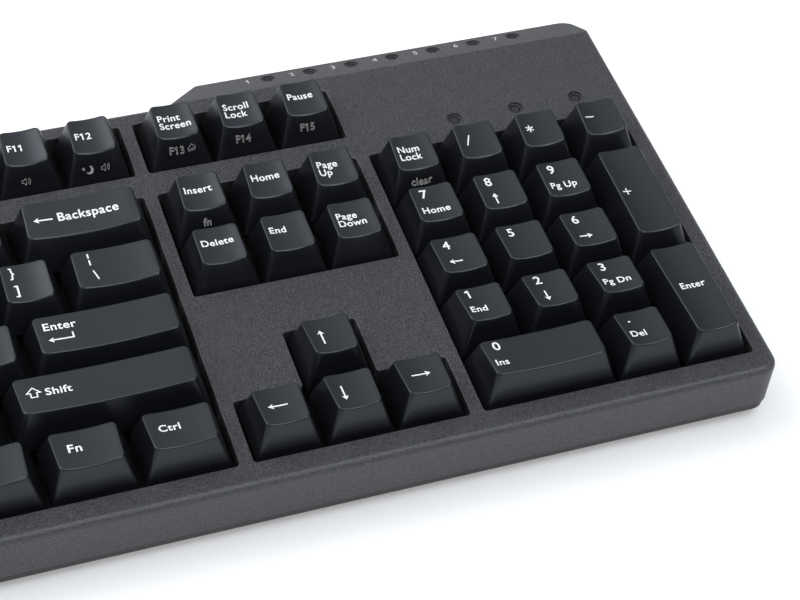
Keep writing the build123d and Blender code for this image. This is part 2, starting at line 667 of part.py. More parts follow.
# ---- Flat inner pieces ---------------------------------------------------------------------------
def switch_plate():
    gap = CASE_WALL + FIT
    sketch = inner_plan(gap, PLATE_REAR, CASE_CORNER - gap)
    holes = [Pos(x * UNIT, y * UNIT) * Rectangle(PLATE_CUTOUT, PLATE_CUTOUT) for _, x, y, *_ in KEYS]
    for x, y, span, turn in stabilized():
        for side in (-1, 1):
            holes.append(Pos(x, y) * Rot(0, 0, turn) * Pos(side * span / 2, 0) * Rectangle(4.4, 4.6))
    holes += [Pos(x, y) * Circle(BOSS_DIAMETER / 2 + 0.5) for x, y in screw_places()]
    holes += [Pos(x * UNIT, y) * Circle(2.5) for x, y in LOCK_LAMPS]
    return prism(sketch - holes, (PLATE_BOTTOM, PLATE_TOP))


def circuit_board():
    gap = CASE_WALL + TRAY_GAP + TRAY_WALL + FIT
    sketch = inner_plan(gap, BOARD_REAR, BOARD_CORNER)
    holes = [Pos(x * UNIT, y * UNIT) * Circle(POST_DIAMETER / 2 + 0.35) for _, x, y, *_ in KEYS]
    holes += [Pos(x, y) * Circle(BOSS_DIAMETER / 2 + 0.5) for x, y in screw_places()]
    board = prism(sketch - holes, (BOARD_BOTTOM, BOARD_TOP))
    controller = block((250, 262), (96.5, 108.5), (BOARD_BOTTOM - 1.4, BOARD_BOTTOM))
    radio = block((330, 348), (98, 110), (BOARD_BOTTOM - 2.0, BOARD_BOTTOM))
    return [board, controller, radio]


def usb_socket():
    x, y, z = USB_SIZE
    rear = CASE_REAR - 0.7
    body = block((USB_X - x / 2, USB_X + x / 2), (rear - y, rear), (BOARD_BOTTOM - z, BOARD_BOTTOM))
    mouth = (BOARD_BOTTOM - z + 0.5, BOARD_BOTTOM - 0.5)
    body -= block((USB_X - x / 2 + 0.5, USB_X + x / 2 - 0.5), (rear - 7, rear), mouth)
    return body + block((USB_X - 2.2, USB_X + 2.2), (rear - 7, rear - 1.2), (BOARD_BOTTOM - 2.5, BOARD_BOTTOM - 1.7))


def indicator_lamps():
    made = []
    foot = PLATE_TOP + 0.3
    for x, y in [(x * UNIT, y) for x, y in LOCK_LAMPS]:
        lamp = rod(x, y, (foot + 0.8, -0.8), LAMP_DIAMETER) + rod(x, y, (foot, foot + 0.8), 3.4)
        for side in (-0.9, 0.9):
            lamp += block((x + side - 0.3, x + side + 0.3), (y - 0.3, y + 0.3), (BOARD_TOP, foot))
        made.append(lamp)
    for x, y in status_places():
        made.append(rod(x, y, (STATUS_BOARD_TOP, slope_height(y) - 0.9), STATUS_DIAMETER))
    return made


def status_board():
    low = STATUS_BOARD_TOP - 1.2
    right = STATUS_X + (STATUS_LAMPS - 1) * STATUS_PITCH + 7
    board = block((STATUS_X - 7, right), (STATUS_Y - 6.5, STATUS_Y + 0.8), (low, STATUS_BOARD_TOP))
    depth = KNOB_HEIGHT - KNOB[1] / 2 - 0.3
    case = block((POWER_X - 4.5, POWER_X + 4.5), (STATUS_Y - 4.0, STATUS_Y + 0.8), (depth, low))
    return board + case


def power_switch():
    """The knob at the left, off end of its travel."""
    x, z = KNOB[0] / 2, KNOB[1] / 2
    off = POWER_X - POWER_TRAVEL
    span = (KNOB_HEIGHT - z, KNOB_HEIGHT + z)
    return block((off - x, off + x), (STATUS_Y + 0.8 + 0.1, REAR + 0.6), span)


# ---- Pieces in the desk frame --------------------------------------------------------------------
def battery_cells():
    y, z = bay_centre()
    left = bay_x()[0] + CONTACT_THICKNESS + CONTACT_SPRING
    made = []
    for i in range(2):
        x = left + i * CELL_LENGTH
        turn = Rot(0, 90, 0)
        can = Pos(x + (CELL_LENGTH - 1.2) / 2, y, z) * turn * Cylinder(CELL_DIAMETER / 2, CELL_LENGTH - 1.2)
        nub = Pos(x + CELL_LENGTH - 0.6, y, z) * turn * Cylinder(2.75, 1.2)
        made.append(can + nub)
    return made


def battery_contacts():
    y, z = bay_centre()
    left, right = bay_x()
    made = []
    for x, way in ((left, 1), (right, -1)):
        plate = sorted((x, x + way * CONTACT_THICKNESS))
        tongue = sorted((x + way * CONTACT_THICKNESS, x + way * (CONTACT_THICKNESS + CONTACT_SPRING)))
        leaf = block(plate, (y - 4.5, y + 4.5), (z - 4.5, BAY_TOP))
        made.append(leaf + block(tongue, (y - 1.5, y + 1.5), (z - 0.3, z + 0.3)))
    return made


def foot(x):
    y, z = FOOT_HINGE_Y, FOOT_HINGE_HEIGHT
    half, thick = FOOT_WIDTH / 2, FOOT_THICKNESS / 2
    leg = block((x - half, x + half), (y - FOOT_LENGTH, y), (z - thick, z + thick))
    heel = Pos(x, y, z) * Rot(0, 90, 0) * Cylinder(thick, FOOT_WIDTH)
    pins = Pos(x, y, z) * Rot(0, 90, 0) * Cylinder(FOOT_PIN / 2, FOOT_WIDTH + 2 * FOOT_PIN_LENGTH)
    return leg + heel + pins


def rubber_pads():
    w, d = PAD_SIZE
    sketch = RectangleRounded(w - 2 * FIT, d - 2 * FIT, 2.0)
    return [Pos(x, y, 0) * extrude(sketch, amount=FLOOR_GAP + PAD_RECESS) for x, y in PADS]


def case_screws():
    made = []
    seat = BOSS_END - SEAT_THICKNESS
    for x, y in screw_places():
        head = rod(x, y, (seat - SCREW_HEAD_HEIGHT, seat), SCREW_HEAD)
        made.append(head + rod(x, y, (seat, seat + SCREW_LENGTH), SCREW_SHANK))
    return made


def key_nodes():
    """Saves one node for each key name, with a cap and a slider for each key in it."""
    shapes, nodes = {}, {}
    for name, x, y, width, depth, profile in KEYS:
        kind = width, depth, profile
        if kind not in shapes:
            shapes[kind] = key(*kind)
        place = Location((x * UNIT, y * UNIT, 0))
        nodes.setdefault(name, []).extend(s.moved(place) for s in shapes[kind])
    for name, shapes_at in nodes.items():
        save(name, shapes_at)


key_nodes()
save("switch_bases", at_keys(switch_base()))
save("switch_covers", at_keys(switch_cover()))
save("switch_springs", at_keys(switch_spring()))
save("switch_plate", [switch_plate()])
save("circuit_board", circuit_board())
save("stabilizer_wires", at_wide_keys(lambda span: [stabilizer_wire(span)]))
save("stabilizer_clips", at_wide_keys(stabilizer_clips))
save("top_case", [top_case()])
outer = bottom_outer()
save("bottom_case", [bottom_case(outer)], Location())
save("battery_door", [battery_door(outer)], Location())
save("battery_cells", battery_cells(), Location())
save("battery_contacts", battery_contacts(), Location())
save("foot_left", [foot(-FOOT_X)], Location())
save("foot_right", [foot(FOOT_X)], Location())
save("rubber_pads", rubber_pads(), Location())
save("case_screws", case_screws())
save("indicator_lamps", indicator_lamps())
save("status_board", [status_board()])
save("power_switch", [power_switch()])
save("usb_socket", [usb_socket()])
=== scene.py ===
"""A full-size mechanical keyboard: keycaps, legends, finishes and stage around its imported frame."""

import json
from collections import namedtuple
from math import cos, pi, radians, sin

import bmesh
import bpy
from mathutils import Euler, Matrix, Vector


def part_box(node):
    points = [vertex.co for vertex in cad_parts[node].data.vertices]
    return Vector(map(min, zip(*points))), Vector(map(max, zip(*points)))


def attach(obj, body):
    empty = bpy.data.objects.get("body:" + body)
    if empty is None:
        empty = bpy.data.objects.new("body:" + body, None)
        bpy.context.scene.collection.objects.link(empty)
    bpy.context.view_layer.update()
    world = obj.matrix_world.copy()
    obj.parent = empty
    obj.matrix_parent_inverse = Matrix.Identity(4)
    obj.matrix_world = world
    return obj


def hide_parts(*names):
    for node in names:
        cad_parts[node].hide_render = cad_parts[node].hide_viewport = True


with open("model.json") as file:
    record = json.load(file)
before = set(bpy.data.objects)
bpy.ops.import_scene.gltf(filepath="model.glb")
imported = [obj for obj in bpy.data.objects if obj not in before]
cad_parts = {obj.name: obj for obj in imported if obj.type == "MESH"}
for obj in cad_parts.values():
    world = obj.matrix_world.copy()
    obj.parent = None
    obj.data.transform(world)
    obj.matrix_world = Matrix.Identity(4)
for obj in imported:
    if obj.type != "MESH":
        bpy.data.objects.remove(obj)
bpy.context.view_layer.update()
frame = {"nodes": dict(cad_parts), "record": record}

bl_info = {
    "name": "Mechanical keyboard",
    "version": (1, 0, 0),
    "blender": (4, 5, 0),
    "location": "3D View > Sidebar > Keyboard",
    "description": "Keycaps, legends, finishes and stage of a full-size mechanical keyboard",
    "category": "Object",
}

MM = 0.001


# ---- Sizes and colours ---------------------------------------------------------------------------
def length(name, millimetres, about):
    """A length property, kept in metres."""
    return bpy.props.FloatProperty(name=name, description=about, default=millimetres * MM,
                                   precision=5, subtype="DISTANCE", unit="LENGTH")


def angle(name, degrees, about):
    return bpy.props.FloatProperty(name=name, description=about, default=radians(degrees),
                                   subtype="ANGLE", unit="ROTATION")


def number(name, value, about):
    return bpy.props.FloatProperty(name=name, description=about, default=value, precision=3)


def colour(name, rgb, about):
    return bpy.props.FloatVectorProperty(name=name, description=about, default=rgb, size=3,
                                         min=0.0, max=1.0, subtype="COLOR")


class DeckSizes(bpy.types.PropertyGroup):
    """Where the sloping deck and its key field lie."""

    unit: length("Key pitch", 19.05, "Distance between two neighbouring keys")
    field_units: number("Field width", 22.5, "Width of the key field, in key pitches")
    tilt: angle("Deck tilt", 4.2, "Slope of the deck, from front to rear")
    front_height: length("Front height", 20.4, "Desk to the front edge of the deck")
    front_margin: length("Front margin", 7.6, "Key field to the front face of the case")
    edge: length("Deck edge radius", 2.0, "Rounding along the top of the case")
    rear_edge: length("Rear edge", 129.6, "Front of the key field to the top of the rear slope")
    slope: angle("Rear slope", 20.0, "Fall of the lamp panel behind the deck")
    lamp_left: length("First lamp", 333.9, "Key field's left side to the panel's first lamp")
    lamp_pitch: length("Lamp pitch", 12.92, "Between the rear panel's lamps")
    lamp_rise: length("Lamp rise", 5.2, "Up the rear panel to the foot of its numbers")


class CapSizes(bpy.types.PropertyGroup):
    """The keycaps' shape."""

    gap: length("Gap", 0.95, "Space between two neighbouring keycaps")
    rim: length("Rim height", -2.6, "Lower edge of a keycap, from the deck's face")
    side_lean: number("Side lean", 0.30, "How far the side faces lean in for their height")
    dish: length("Dish depth", 0.8, "Hollow of the top, across the keycap")
    crown: length("Bar crown", 0.7, "How much the space bar rounds off to front and rear")
    wall: length("Wall", 1.5, "Thickness of a keycap's walls")
    foot_radius: length("Foot corner radius", 0.9, "Upright corners at the rim")
    top_radius: length("Top corner radius", 1.6, "Upright corners at the top")
    edge: length("Edge radius", 0.45, "Rounding between the top and the sides")
    post: length("Post diameter", 5.5, "Post that stands on the slider")
    foot: length("Post height", -1.9, "Lower end of the post, from the deck's face")


class InkSizes(bpy.types.PropertyGroup):
    """The printed legends."""

    word: length("Word height", 2.12, "Height of capitals in words")
    sign: length("Sign height", 2.95, "Height of single letters and digits")
    small: length("Front letter height", 2.0, "Height of capitals on the front faces")
    line: length("Front line", 0.14, "Width of the outlines on the front faces")
    drop: length("Front drop", 4.4, "Top edge of a keycap to the foot of its front legend")
    margin: length("Margin", 1.42, "Left edge of the top to a word")
    weight: length("Extra weight", 0.055, "How much every stroke is fattened on each side")
    lift: length("Ink lift", 0.02, "Ink above the keycap's surface")
    depth: length("Ink depth", 0.05, "Ink below the keycap's surface")
    panel: length("Panel number height", 2.1, "Height of the numbers beside the panel's lamps")
    aside: length("Panel number place", 6.2, "A lamp to the left side of its number")
    white: colour("Ink", (0.80, 0.80, 0.80), "Legends on top of the keycaps")
    grey: colour("Front ink", (0.42, 0.41, 0.40), "Legends on the keycaps' front faces")


class Finishes(bpy.types.PropertyGroup):
    """Colours and surface textures."""

    cap: colour("Keycap", (0.0060, 0.0064, 0.0078), "Moulded keycaps")
    case: colour("Case", (0.035, 0.035, 0.0368), "Upper and lower case")
    grain: length("Grain size", 0.46, "Pebbles of the deck's texture")
    grain_depth: length("Grain depth", 0.70, "Depth of the deck's texture")


class StageSizes(bpy.types.PropertyGroup):
    """Camera, light and floor."""

    eye: bpy.props.FloatVectorProperty(
        name="Camera place", description="Where the camera stands", size=3,
        default=(-27.61 * MM, -410.82 * MM, 434.28 * MM), subtype="TRANSLATION", unit="LENGTH")
    azimuth: angle("Azimuth", 22.062, "Camera's turn to the right of the keyboard's depth")
    down: angle("Down angle", 44.607, "Camera's angle below the horizon")
    roll: angle("Roll", 4.240, "Camera's turn about its own axis")
    lens: bpy.props.FloatProperty(name="Lens", description="Focal length for a 36 mm sensor",
                                  default=97.78, unit="CAMERA")
    sky: number("Soft light", 0.15, "Strength of the even light from all round")
    rim: number("Edge light", 4.6, "Strength of the small patch that lights rounded edges")
    glow: number("Overhead light", 0.92, "Strength of the broad light from above and behind")
    lamp: bpy.props.FloatProperty(name="Lamp power", description="Power of the soft box",
                                  default=9.0, unit="POWER")
    floor: colour("Floor", (0.80, 0.80, 0.80), "Floor under the keyboard")
    floor_glow: number("Floor glow", 0.22, "What the floor adds where it is seen")
    reach: length("Floor reach", 40000, "Half the width of the floor")


SENSOR = 36.0       # the camera's sensor width in millimetres
SKY_COLOUR = (0.93, 0.96, 1.0, 1)
# the broad and the small bright patch of sky: direction, and the cosines where they begin and are full
OVERHEAD, OVERHEAD_SPREAD = (-0.43, 0.38, 0.82), (0.1, 1.0)
EDGE_PATCH, EDGE_PATCH_SPREAD, EDGE_PATCH_NARROW = (0.27, -0.38, 0.88), (0.90, 0.95), 2.6
BOX_PLACE, BOX_SIZE = (-0.55, 0.45, 1.15), (1.1, 0.8)       # the soft box, in metres


GROUPS = {"keyboard_deck": DeckSizes, "keyboard_caps": CapSizes, "keyboard_ink": InkSizes,
          "keyboard_finish": Finishes, "keyboard_stage": StageSizes}


def settings(name):
    return getattr(bpy.context.scene, name)


def deck_matrix():
    """From the deck's own frame, with its origin at the key field's front left corner."""
    deck = settings("keyboard_deck")
    low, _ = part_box("top_case")
    slack = deck.edge - deck.front_margin
    front = slack * cos(deck.tilt) + deck.edge * sin(deck.tilt) - deck.edge
    place = Vector((-deck.field_units * deck.unit / 2, low.y - front,
                    deck.front_height + deck.front_margin * sin(deck.tilt)))
    return Matrix.Translation(place) @ Matrix.Rotation(deck.tilt, 4, "X")


# ---- Keys and their legends ----------------------------------------------------------------------
# rear inset, rear height, front inset and front height of each row's keycap, in millimetres
PROFILES = {
    "number": (1.85, 8.9, 4.45, 7.4),
    "tab": (1.55, 7.1, 3.75, 6.8),
    "home": (1.45, 5.9, 3.35, 6.9),
    "shift": (1.85, 6.6, 3.25, 8.5),
}
FUNCTION_ROW, NAV_X, PAD_X = 5.5, 15.25, 18.5

Key = namedtuple("Key", "body x y width depth profile marks")
# a mark's place is in millimetres from the left edge and the middle of its keycap
Mark = namedtuple("Mark", "kind text x y scale", defaults=(1.0,))


ONE_LINE, TWO_LINES, LINE_PITCH = 0.95, 1.25, 2.7     # heights of the first line, and line to line
LONG_ARROW = 5.2


def words(*lines, x=0.0, y=None, scale=1.0):
    """One or two lines of words, in the upper left unless they are moved."""
    if y is None:
        y = TWO_LINES if len(lines) > 1 else ONE_LINE
    return [Mark("word", line, x, y - LINE_PITCH * i, scale) for i, line in enumerate(lines)]


def letter(sign):
    return [Mark("sign", sign, 0.6, 2.9)]


def pair(signs, x=0.9):
    """A shifted sign over a plain one."""
    upper, lower = signs
    return [Mark("sign", upper, x, 3.3), Mark("sign", lower, x + 0.3, -2.7)]


def stroke_sign(kind, x, y=1.5):
    """An operator of the number pad, drawn with thin strokes."""
    return [Mark(kind, "", x, y)]


def pad(digit, word=None):
    marks = [Mark("sign", digit, 1.45, 3.2)]
    if word:
        marks.append(Mark("word", word, 0.1, -2.5))
    return marks


def arrow(turn, x, y, size=3.9):
    return Mark(f"arrow {turn} {size}", "", x, y)


def front(text, x=1.6):
    return Mark("front", text, x, 0)


def row(x, y, profile, keys):
    """Keys side by side from x: (body, width, legends)."""
    made = []
    for body, width, marks in keys:
        made.append(Key(body, x + width / 2, y + 0.5, width, 1.0, profile, marks))
        x += width
    return made


def singles(x, y, profile, **legends):
    """Keys one pitch wide side by side, each a body of its own."""
    return row(x, y, profile, [(f"{name}_key", 1.0, marks) for name, marks in legends.items()])


def function_row():
    names = [words("Esc", y=0.2)] + [words(f"F{n}", y=0.2) for n in range(1, 13)]
    names[11].append(Mark("speaker", "", 3.4, 0))
    names[12] += [Mark("moon", "", 2.0, 0), Mark("speaker", "", 6.6, 0)]
    keys = row(0, FUNCTION_ROW, "number", [("function_keys", 1.0, names[0])])
    for start, first in ((2.0, 1), (6.5, 5), (11.0, 9)):
        four = [("function_keys", 1.0, marks) for marks in names[first:first + 4]]
        keys += row(start, FUNCTION_ROW, "number", four)
    return keys


def main_block():
    signs = "~` !1 @2 #3 $4 %5 ^6 &7 *8 (9 )0 _- +=".split()
    numbers = [("number_row_keys", 1.0, pair(p)) for p in signs]
    back = [arrow("left", 3.6, 1.2, LONG_ARROW), Mark("word", "Backspace", 7.7, 0.2, 1.23)]
    keys = row(0, 4, "number", numbers + [("backspace_key", 2.0, back)])
    tab = [("tab_row_keys", 1.5, words("Tab"))]
    tab += [("tab_row_keys", 1.0, letter(c)) for c in "QWERTYUIOP"]
    tab += [("tab_row_keys", 1.0, pair(p)) for p in ("{[", "}]")]
    keys += row(0, 3, "tab", tab + [("backslash_key", 1.5, pair("¦\\", 2.9))])
    home = [("home_row_keys", 1.75, words("Caps Lock"))]
    home += [("home_row_keys", 1.0, letter(c)) for c in "ASDFGHJKL"]
    home += [("home_row_keys", 1.0, pair(p)) for p in (":;", "\"'")]
    enter = [Mark("word", "Enter", 0.8, 2.4, 1.2), Mark("return", "", 4.6, -1.2)]
    keys += row(0, 2, "home", home + [("enter_key", 2.25, enter)])
    shift = [Mark("shift", "", 2.8, 1.2, 1.3), Mark("word", "Shift", 5.8, -0.2, 1.15)]
    lower = [("shift_row_keys", 2.25, shift)]
    lower += [("shift_row_keys", 1.0, letter(c)) for c in "ZXCVBNM"]
    lower += [("shift_row_keys", 1.0, pair(p)) for p in ("<,", ">.", "?/")]
    keys += row(0, 1, "shift", lower + [("right_shift_key", 2.75, shift)])
    system = [Mark("diamond", "", 1.6, 2.0)]
    ends = {name: words(name, x=1.5, y=0.1, scale=1.05) for name in ("Ctrl", "Alt")}
    bottom = [(1.25, ends["Ctrl"]), (1.25, system), (1.25, ends["Alt"]), (6.25, []),
              (1.25, ends["Alt"]), (1.25, system), (1.25, words("Fn", x=2.3, y=-0.2, scale=1.25)),
              (1.25, ends["Ctrl"])]
    return keys + row(0, 0, "shift", [("bottom_row_keys", w, marks) for w, marks in bottom])


def navigation_block():
    keys = singles(NAV_X, FUNCTION_ROW, "number",
                   print_screen=words("Print", "Screen") + [front("F13", 1.3), Mark("eject", "", 7.6, 0.7)],
                   scroll_lock=words("Scroll", "Lock") + [front("F14")],
                   pause=words("Pause") + [front("F15")])
    keys += singles(NAV_X, 4, "number", insert=words("Insert") + [front("fn", 3.2)],
                    home=words("Home"), page_up=words("Page", "Up"))
    keys += singles(NAV_X, 3, "tab", delete=words("Delete"), end=words("End"),
                    page_down=words("Page", "Down"))
    keys += singles(NAV_X + 1, 1, "shift", up_arrow=[arrow("up", 2.2, 0.2, LONG_ARROW)])
    return keys + singles(NAV_X, 0, "shift", left_arrow=[arrow("left", 3.6, 0.6, LONG_ARROW)],
                          down_arrow=[arrow("down", 1.9, 0.1, LONG_ARROW)],
                          right_arrow=[arrow("right", 4.0, 0.8, LONG_ARROW)])


def number_pad():
    keys = singles(PAD_X, 4, "number", num_lock=words("Num", "Lock") + [front("clear")],
                   pad_divide=stroke_sign("slash", 1.9), pad_multiply=stroke_sign("star", 1.6),
                   pad_minus=stroke_sign("minus", 1.2, 1.7))
    keys += singles(PAD_X, 3, "tab", pad_7=pad("7", "Home"), pad_8=pad("8") + [arrow("up", 2.6, -1.7)],
                    pad_9=pad("9", "Pg Up"))
    keys += singles(PAD_X, 2, "home", pad_4=pad("4") + [arrow("left", 3.1, -1.8)], pad_5=pad("5"),
                    pad_6=pad("6") + [arrow("right", 3.0, -2.1)])
    keys += singles(PAD_X, 1, "shift", pad_1=pad("1", "End"),
                    pad_2=pad("2") + [arrow("down", 2.6, -1.7)], pad_3=pad("3", "Pg Dn"))
    keys += row(PAD_X, 0, "shift", [("pad_0_key", 2.0, pad("0", "Ins")),
                                    ("pad_point_key", 1.0, pad(".", "Del"))])
    keys.append(Key("pad_plus_key", PAD_X + 3.5, 3.0, 1.0, 2.0, "tab", stroke_sign("plus", 1.2, 0.8)))
    enter = [Mark("word", "Enter", 1.0, 0.5)]
    keys.append(Key("pad_enter_key", PAD_X + 3.5, 1.0, 1.0, 2.0, "shift", enter))
    return keys


KEYS = function_row() + main_block() + navigation_block() + number_pad()


def keys_by_body():
    """Every moving body's plain name, its own name and its keys."""
    return [(body.removesuffix("_keys").removesuffix("_key"), body, [k for k in KEYS if k.body == body])
            for body in sorted({k.body for k in KEYS})]


# ---- The keycap's surface ------------------------------------------------------------------------
BAR_UNITS = 5       # keys wider than this have a rounded top in place of a hollow one
BRIM_ROUNDS = 4     # rounds that settle a brim's height


class Cap:
    """A keycap's faces, in metres from its middle and the deck's face."""

    def __init__(self, width, depth, profile):
        size, unit = settings("keyboard_caps"), settings("keyboard_deck").unit
        rear_inset, rear, front_inset, front_edge = (v * MM for v in PROFILES[profile])
        self.size, self.bar = size, width > BAR_UNITS
        self.half_x = (width * unit - size.gap) / 2
        self.half_y = (depth * unit - size.gap) / 2
        self.rear_lean = rear_inset / (rear - size.rim)
        self.front_lean = front_inset / (front_edge - size.rim)
        self.front_y, self.front_z = front_inset - self.half_y, front_edge
        self.rear_y = self.half_y - rear_inset
        self.rise = (rear - front_edge) / (self.rear_y - self.front_y)
        middle = (rear + front_edge) / 2
        self.half_top = self.half_x - size.side_lean * (middle - size.rim)

    def flat(self, y):
        """Height of the top before it is hollowed."""
        return self.front_z + self.rise * (y - self.front_y)

    def top(self, x, y):
        if self.bar:
            across = (2 * y - self.rear_y - self.front_y) / (self.rear_y - self.front_y)
            return self.flat(y) - self.size.crown * across**2
        return self.flat(y) - self.size.dish * (1 - (x / self.half_top)**2)

    def wall(self, station, z, radius, inset=0.0):
        """The point of a station on the side faces at height z."""
        a, b, c, d = station
        rise = z - self.size.rim
        half_x = self.half_x - self.size.side_lean * rise - inset
        rear = self.half_y - self.rear_lean * rise - inset
        fore = self.front_lean * rise + inset - self.half_y
        return Vector((a * half_x + b * radius, c * rear + (1 - c) * fore + d * radius, z))

    def brim(self, station, radius, inset=0.0, drop=None):
        """Where a station meets the top, or the hollow's ceiling when it is dropped."""
        z = self.front_z
        for _ in range(BRIM_ROUNDS):
            point = self.wall(station, z, radius, inset)
            z = self.top(point.x, point.y) if drop is None else self.flat(point.y) - drop
        point.z = z
        return point

    def front_face(self, x, height):
        """A point on the front face, a height below its upper edge."""
        z = self.top(x, self.front_y) - height
        return Vector((x, self.front_lean * (z - self.size.rim) - self.half_y, z))


def stations(across, along, steps):
    """Places round a rounded rectangle: factors of its half width, corner radius and depth."""
    corners = []
    for sx, sy, start in ((1, 1, 0), (-1, 1, 90), (-1, -1, 180), (1, -1, 270)):
        turns = [radians(start + 90 * i / steps) for i in range(steps + 1)]
        corners.append([(sx, cos(t) - sx, (1 + sy) / 2, sin(t) - sy) for t in turns])
    found = []
    for k, segments in enumerate((across, along, across, along)):
        found += corners[k]
        a, b = corners[k][-1], corners[(k + 1) % 4][0]
        found += [tuple(p + (q - p) * i / segments for p, q in zip(a, b))
                  for i in range(1, segments)]
    return found


def join_rings(bm, rings, closed=False):
    """Quads between rings of vertices, outwards for rings that run anticlockwise and rise."""
    for low, high in zip(rings, rings[1:] + (rings[:1] if closed else [])):
        for i in range(len(low)):
            j = (i + 1) % len(low)
            bm.faces.new((low[i], low[j], high[j], high[i]))


def fan(bm, ring, centre, up):
    middle = bm.verts.new(centre)
    for i in range(len(ring)):
        j = (i + 1) % len(ring)
        bm.faces.new((ring[i], ring[j], middle) if up else (ring[j], ring[i], middle))


SHARP = radians(40)     # edges that turn more than this stay sharp


def smooth(mesh):
    mesh.shade_smooth()
    mesh.set_sharp_from_angle(angle=SHARP)
    return mesh


def finish_mesh(bm, name):
    mesh = bpy.data.meshes.new(name)
    bm.to_mesh(mesh)
    bm.free()
    return mesh


CROSS = ((1, 3), (1, 1), (3, 1), (3, -1), (1, -1), (1, -3), (-1, -3), (-1, -1), (-3, -1), (-3, 1),
         (-1, 1), (-1, 3))
CROSS_LENGTH, CROSS_ARM, CROSS_HEIGHT, CROSS_ROOT = 4.1 * MM, 1.25 * MM, 3.6 * MM, 0.2 * MM
SOCKET_PLAY, SOCKET_ROOM = 0.1 * MM, 0.2 * MM       # round the cross and above it
POST_SIDES, POST_ROOT = 20, 0.4 * MM
# half width, half depth and height over its top of the slider's block, from the spring well outwards
SLIDER_STEPS = ((2.6, 2.6, -2.1), (2.6, 2.6, -5.6), (3.6, 3.3, -5.6), (3.6, 3.3, -0.3), (3.3, 3.0, 0.0))
ACROSS_STEPS, ALONG_STEPS, ROUND_STEPS = 6, 4, 5    # per key pitch, and round a corner
LEAST_STEPS = 8
TOP_RINGS = (0.84, 0.62, 0.40, 0.18)        # shares of the way from the top's middle to its edge


def cross_ring(bm, z, clearance):
    """The outline of the slider's cross, anticlockwise."""
    long, arm = CROSS_LENGTH / 2 + clearance, CROSS_ARM / 2 + clearance
    value = {1: arm, 3: long}
    corners = [(value[abs(x)] * x / abs(x), value[abs(y)] * y / abs(y)) for x, y in reversed(CROSS)]
    return [bm.verts.new((x, y, z)) for x, y in corners]


def add_post(bm, radius, foot, ceiling):
    """The round post under a keycap, with the socket for the cross."""
    turns = [2 * pi * i / POST_SIDES for i in range(POST_SIDES)]
    outer = [[bm.verts.new((radius * cos(t), radius * sin(t), z)) for t in turns]
             for z in (foot, ceiling)]
    join_rings(bm, outer)
    bm.faces.new(outer[1])
    mouth = cross_ring(bm, foot, SOCKET_PLAY)
    deep = cross_ring(bm, foot + CROSS_HEIGHT + SOCKET_ROOM, SOCKET_PLAY)
    join_rings(bm, [deep, mouth])
    bm.faces.new(list(reversed(deep)))
    edges = [bm.edges.get((loop[i - 1], loop[i]))
             for loop in (outer[0], mouth) for i in range(len(loop))]
    bmesh.ops.triangle_fill(bm, use_beauty=True, use_dissolve=False, edges=edges,
                            normal=(0, 0, -1))


def cap_mesh(name, width, depth, profile):
    """A keycap: leaning sides, rounded edges, a dished top, its hollow and its post."""
    cap = Cap(width, depth, profile)
    size = cap.size
    across = max(LEAST_STEPS, round(ACROSS_STEPS * width))
    places = stations(across, round(ALONG_STEPS * depth), ROUND_STEPS)
    bm = bmesh.new()

    def ring(points):
        return [bm.verts.new(p) for p in points]

    foot = [cap.wall(s, size.rim, size.foot_radius) for s in places]
    corner = [cap.brim(s, size.top_radius) for s in places]
    inner = [cap.brim(s, size.top_radius - size.edge / 2, size.edge) for s in places]
    side = [c + (f - c).normalized() * size.edge for c, f in zip(corner, foot)]
    rings = [ring(foot), ring([f.lerp(s, 0.5) for f, s in zip(foot, side)])]
    for step in range(ROUND_STEPS):
        t = step / (ROUND_STEPS - 1)
        rings.append(ring([s * (1 - t)**2 + c * 2 * t * (1 - t) + i * t**2
                           for s, c, i in zip(side, corner, inner)]))
    centre = Vector((0, (cap.front_y + cap.rear_y) / 2))
    for share in TOP_RINGS:
        plan = [centre + (p.xy - centre) * share for p in inner]
        rings.append(ring([(p.x, p.y, cap.top(p.x, p.y)) for p in plan]))
    join_rings(bm, rings)
    fan(bm, rings[-1], (0, centre.y, cap.top(0, centre.y)), True)
    hollow_drop = size.wall + size.dish
    hollow = [ring([cap.brim(s, size.foot_radius, size.wall, hollow_drop) for s in places]),
              ring([cap.wall(s, size.rim, size.foot_radius / 2, size.wall) for s in places])]
    join_rings(bm, hollow + [rings[0]])
    fan(bm, hollow[0], (0, centre.y, cap.flat(centre.y) - hollow_drop), False)
    add_post(bm, size.post / 2, size.foot, cap.flat(0) - hollow_drop + POST_ROOT)
    return smooth(finish_mesh(bm, name))


def slider_mesh(name):
    """The slider under a keycap: a stepped block with a spring well below and the cross above."""
    bm = bmesh.new()
    foot = settings("keyboard_caps").foot
    rings = [[bm.verts.new((x * a * MM, y * b * MM, foot + z * MM))
              for a, b in ((1, 1), (-1, 1), (-1, -1), (1, -1))] for x, y, z in SLIDER_STEPS]
    join_rings(bm, rings)
    bm.faces.new(list(reversed(rings[0])))
    bm.faces.new(rings[-1])
    cross = [cross_ring(bm, foot + z, 0) for z in (-CROSS_ROOT, CROSS_HEIGHT)]
    join_rings(bm, cross)
    bm.faces.new(list(reversed(cross[0])))
    bm.faces.new(cross[1])
    return smooth(finish_mesh(bm, name))


# ---- Node trees ----------------------------------------------------------------------------------
def add_node(tree, kind, **values):
    node = tree.nodes.new(kind)
    for name, value in values.items():
        setattr(node, name, value)
    return node


def preset(node, **values):
    """Sets a node's inputs by their labels, with underscores for spaces."""
    for label, value in values.items():
        node.inputs[label.replace("_", " ")].default_value = value
    return node


def connect(tree, *links):
    """Links nodes: (from node, its output, to node, its input)."""
    for source, output, target, into in links:
        tree.links.new(source.outputs[output], target.inputs[into])


def add_object(name, data):
    made = bpy.data.objects.new(name, data)
    bpy.context.scene.collection.objects.link(made)
    return made


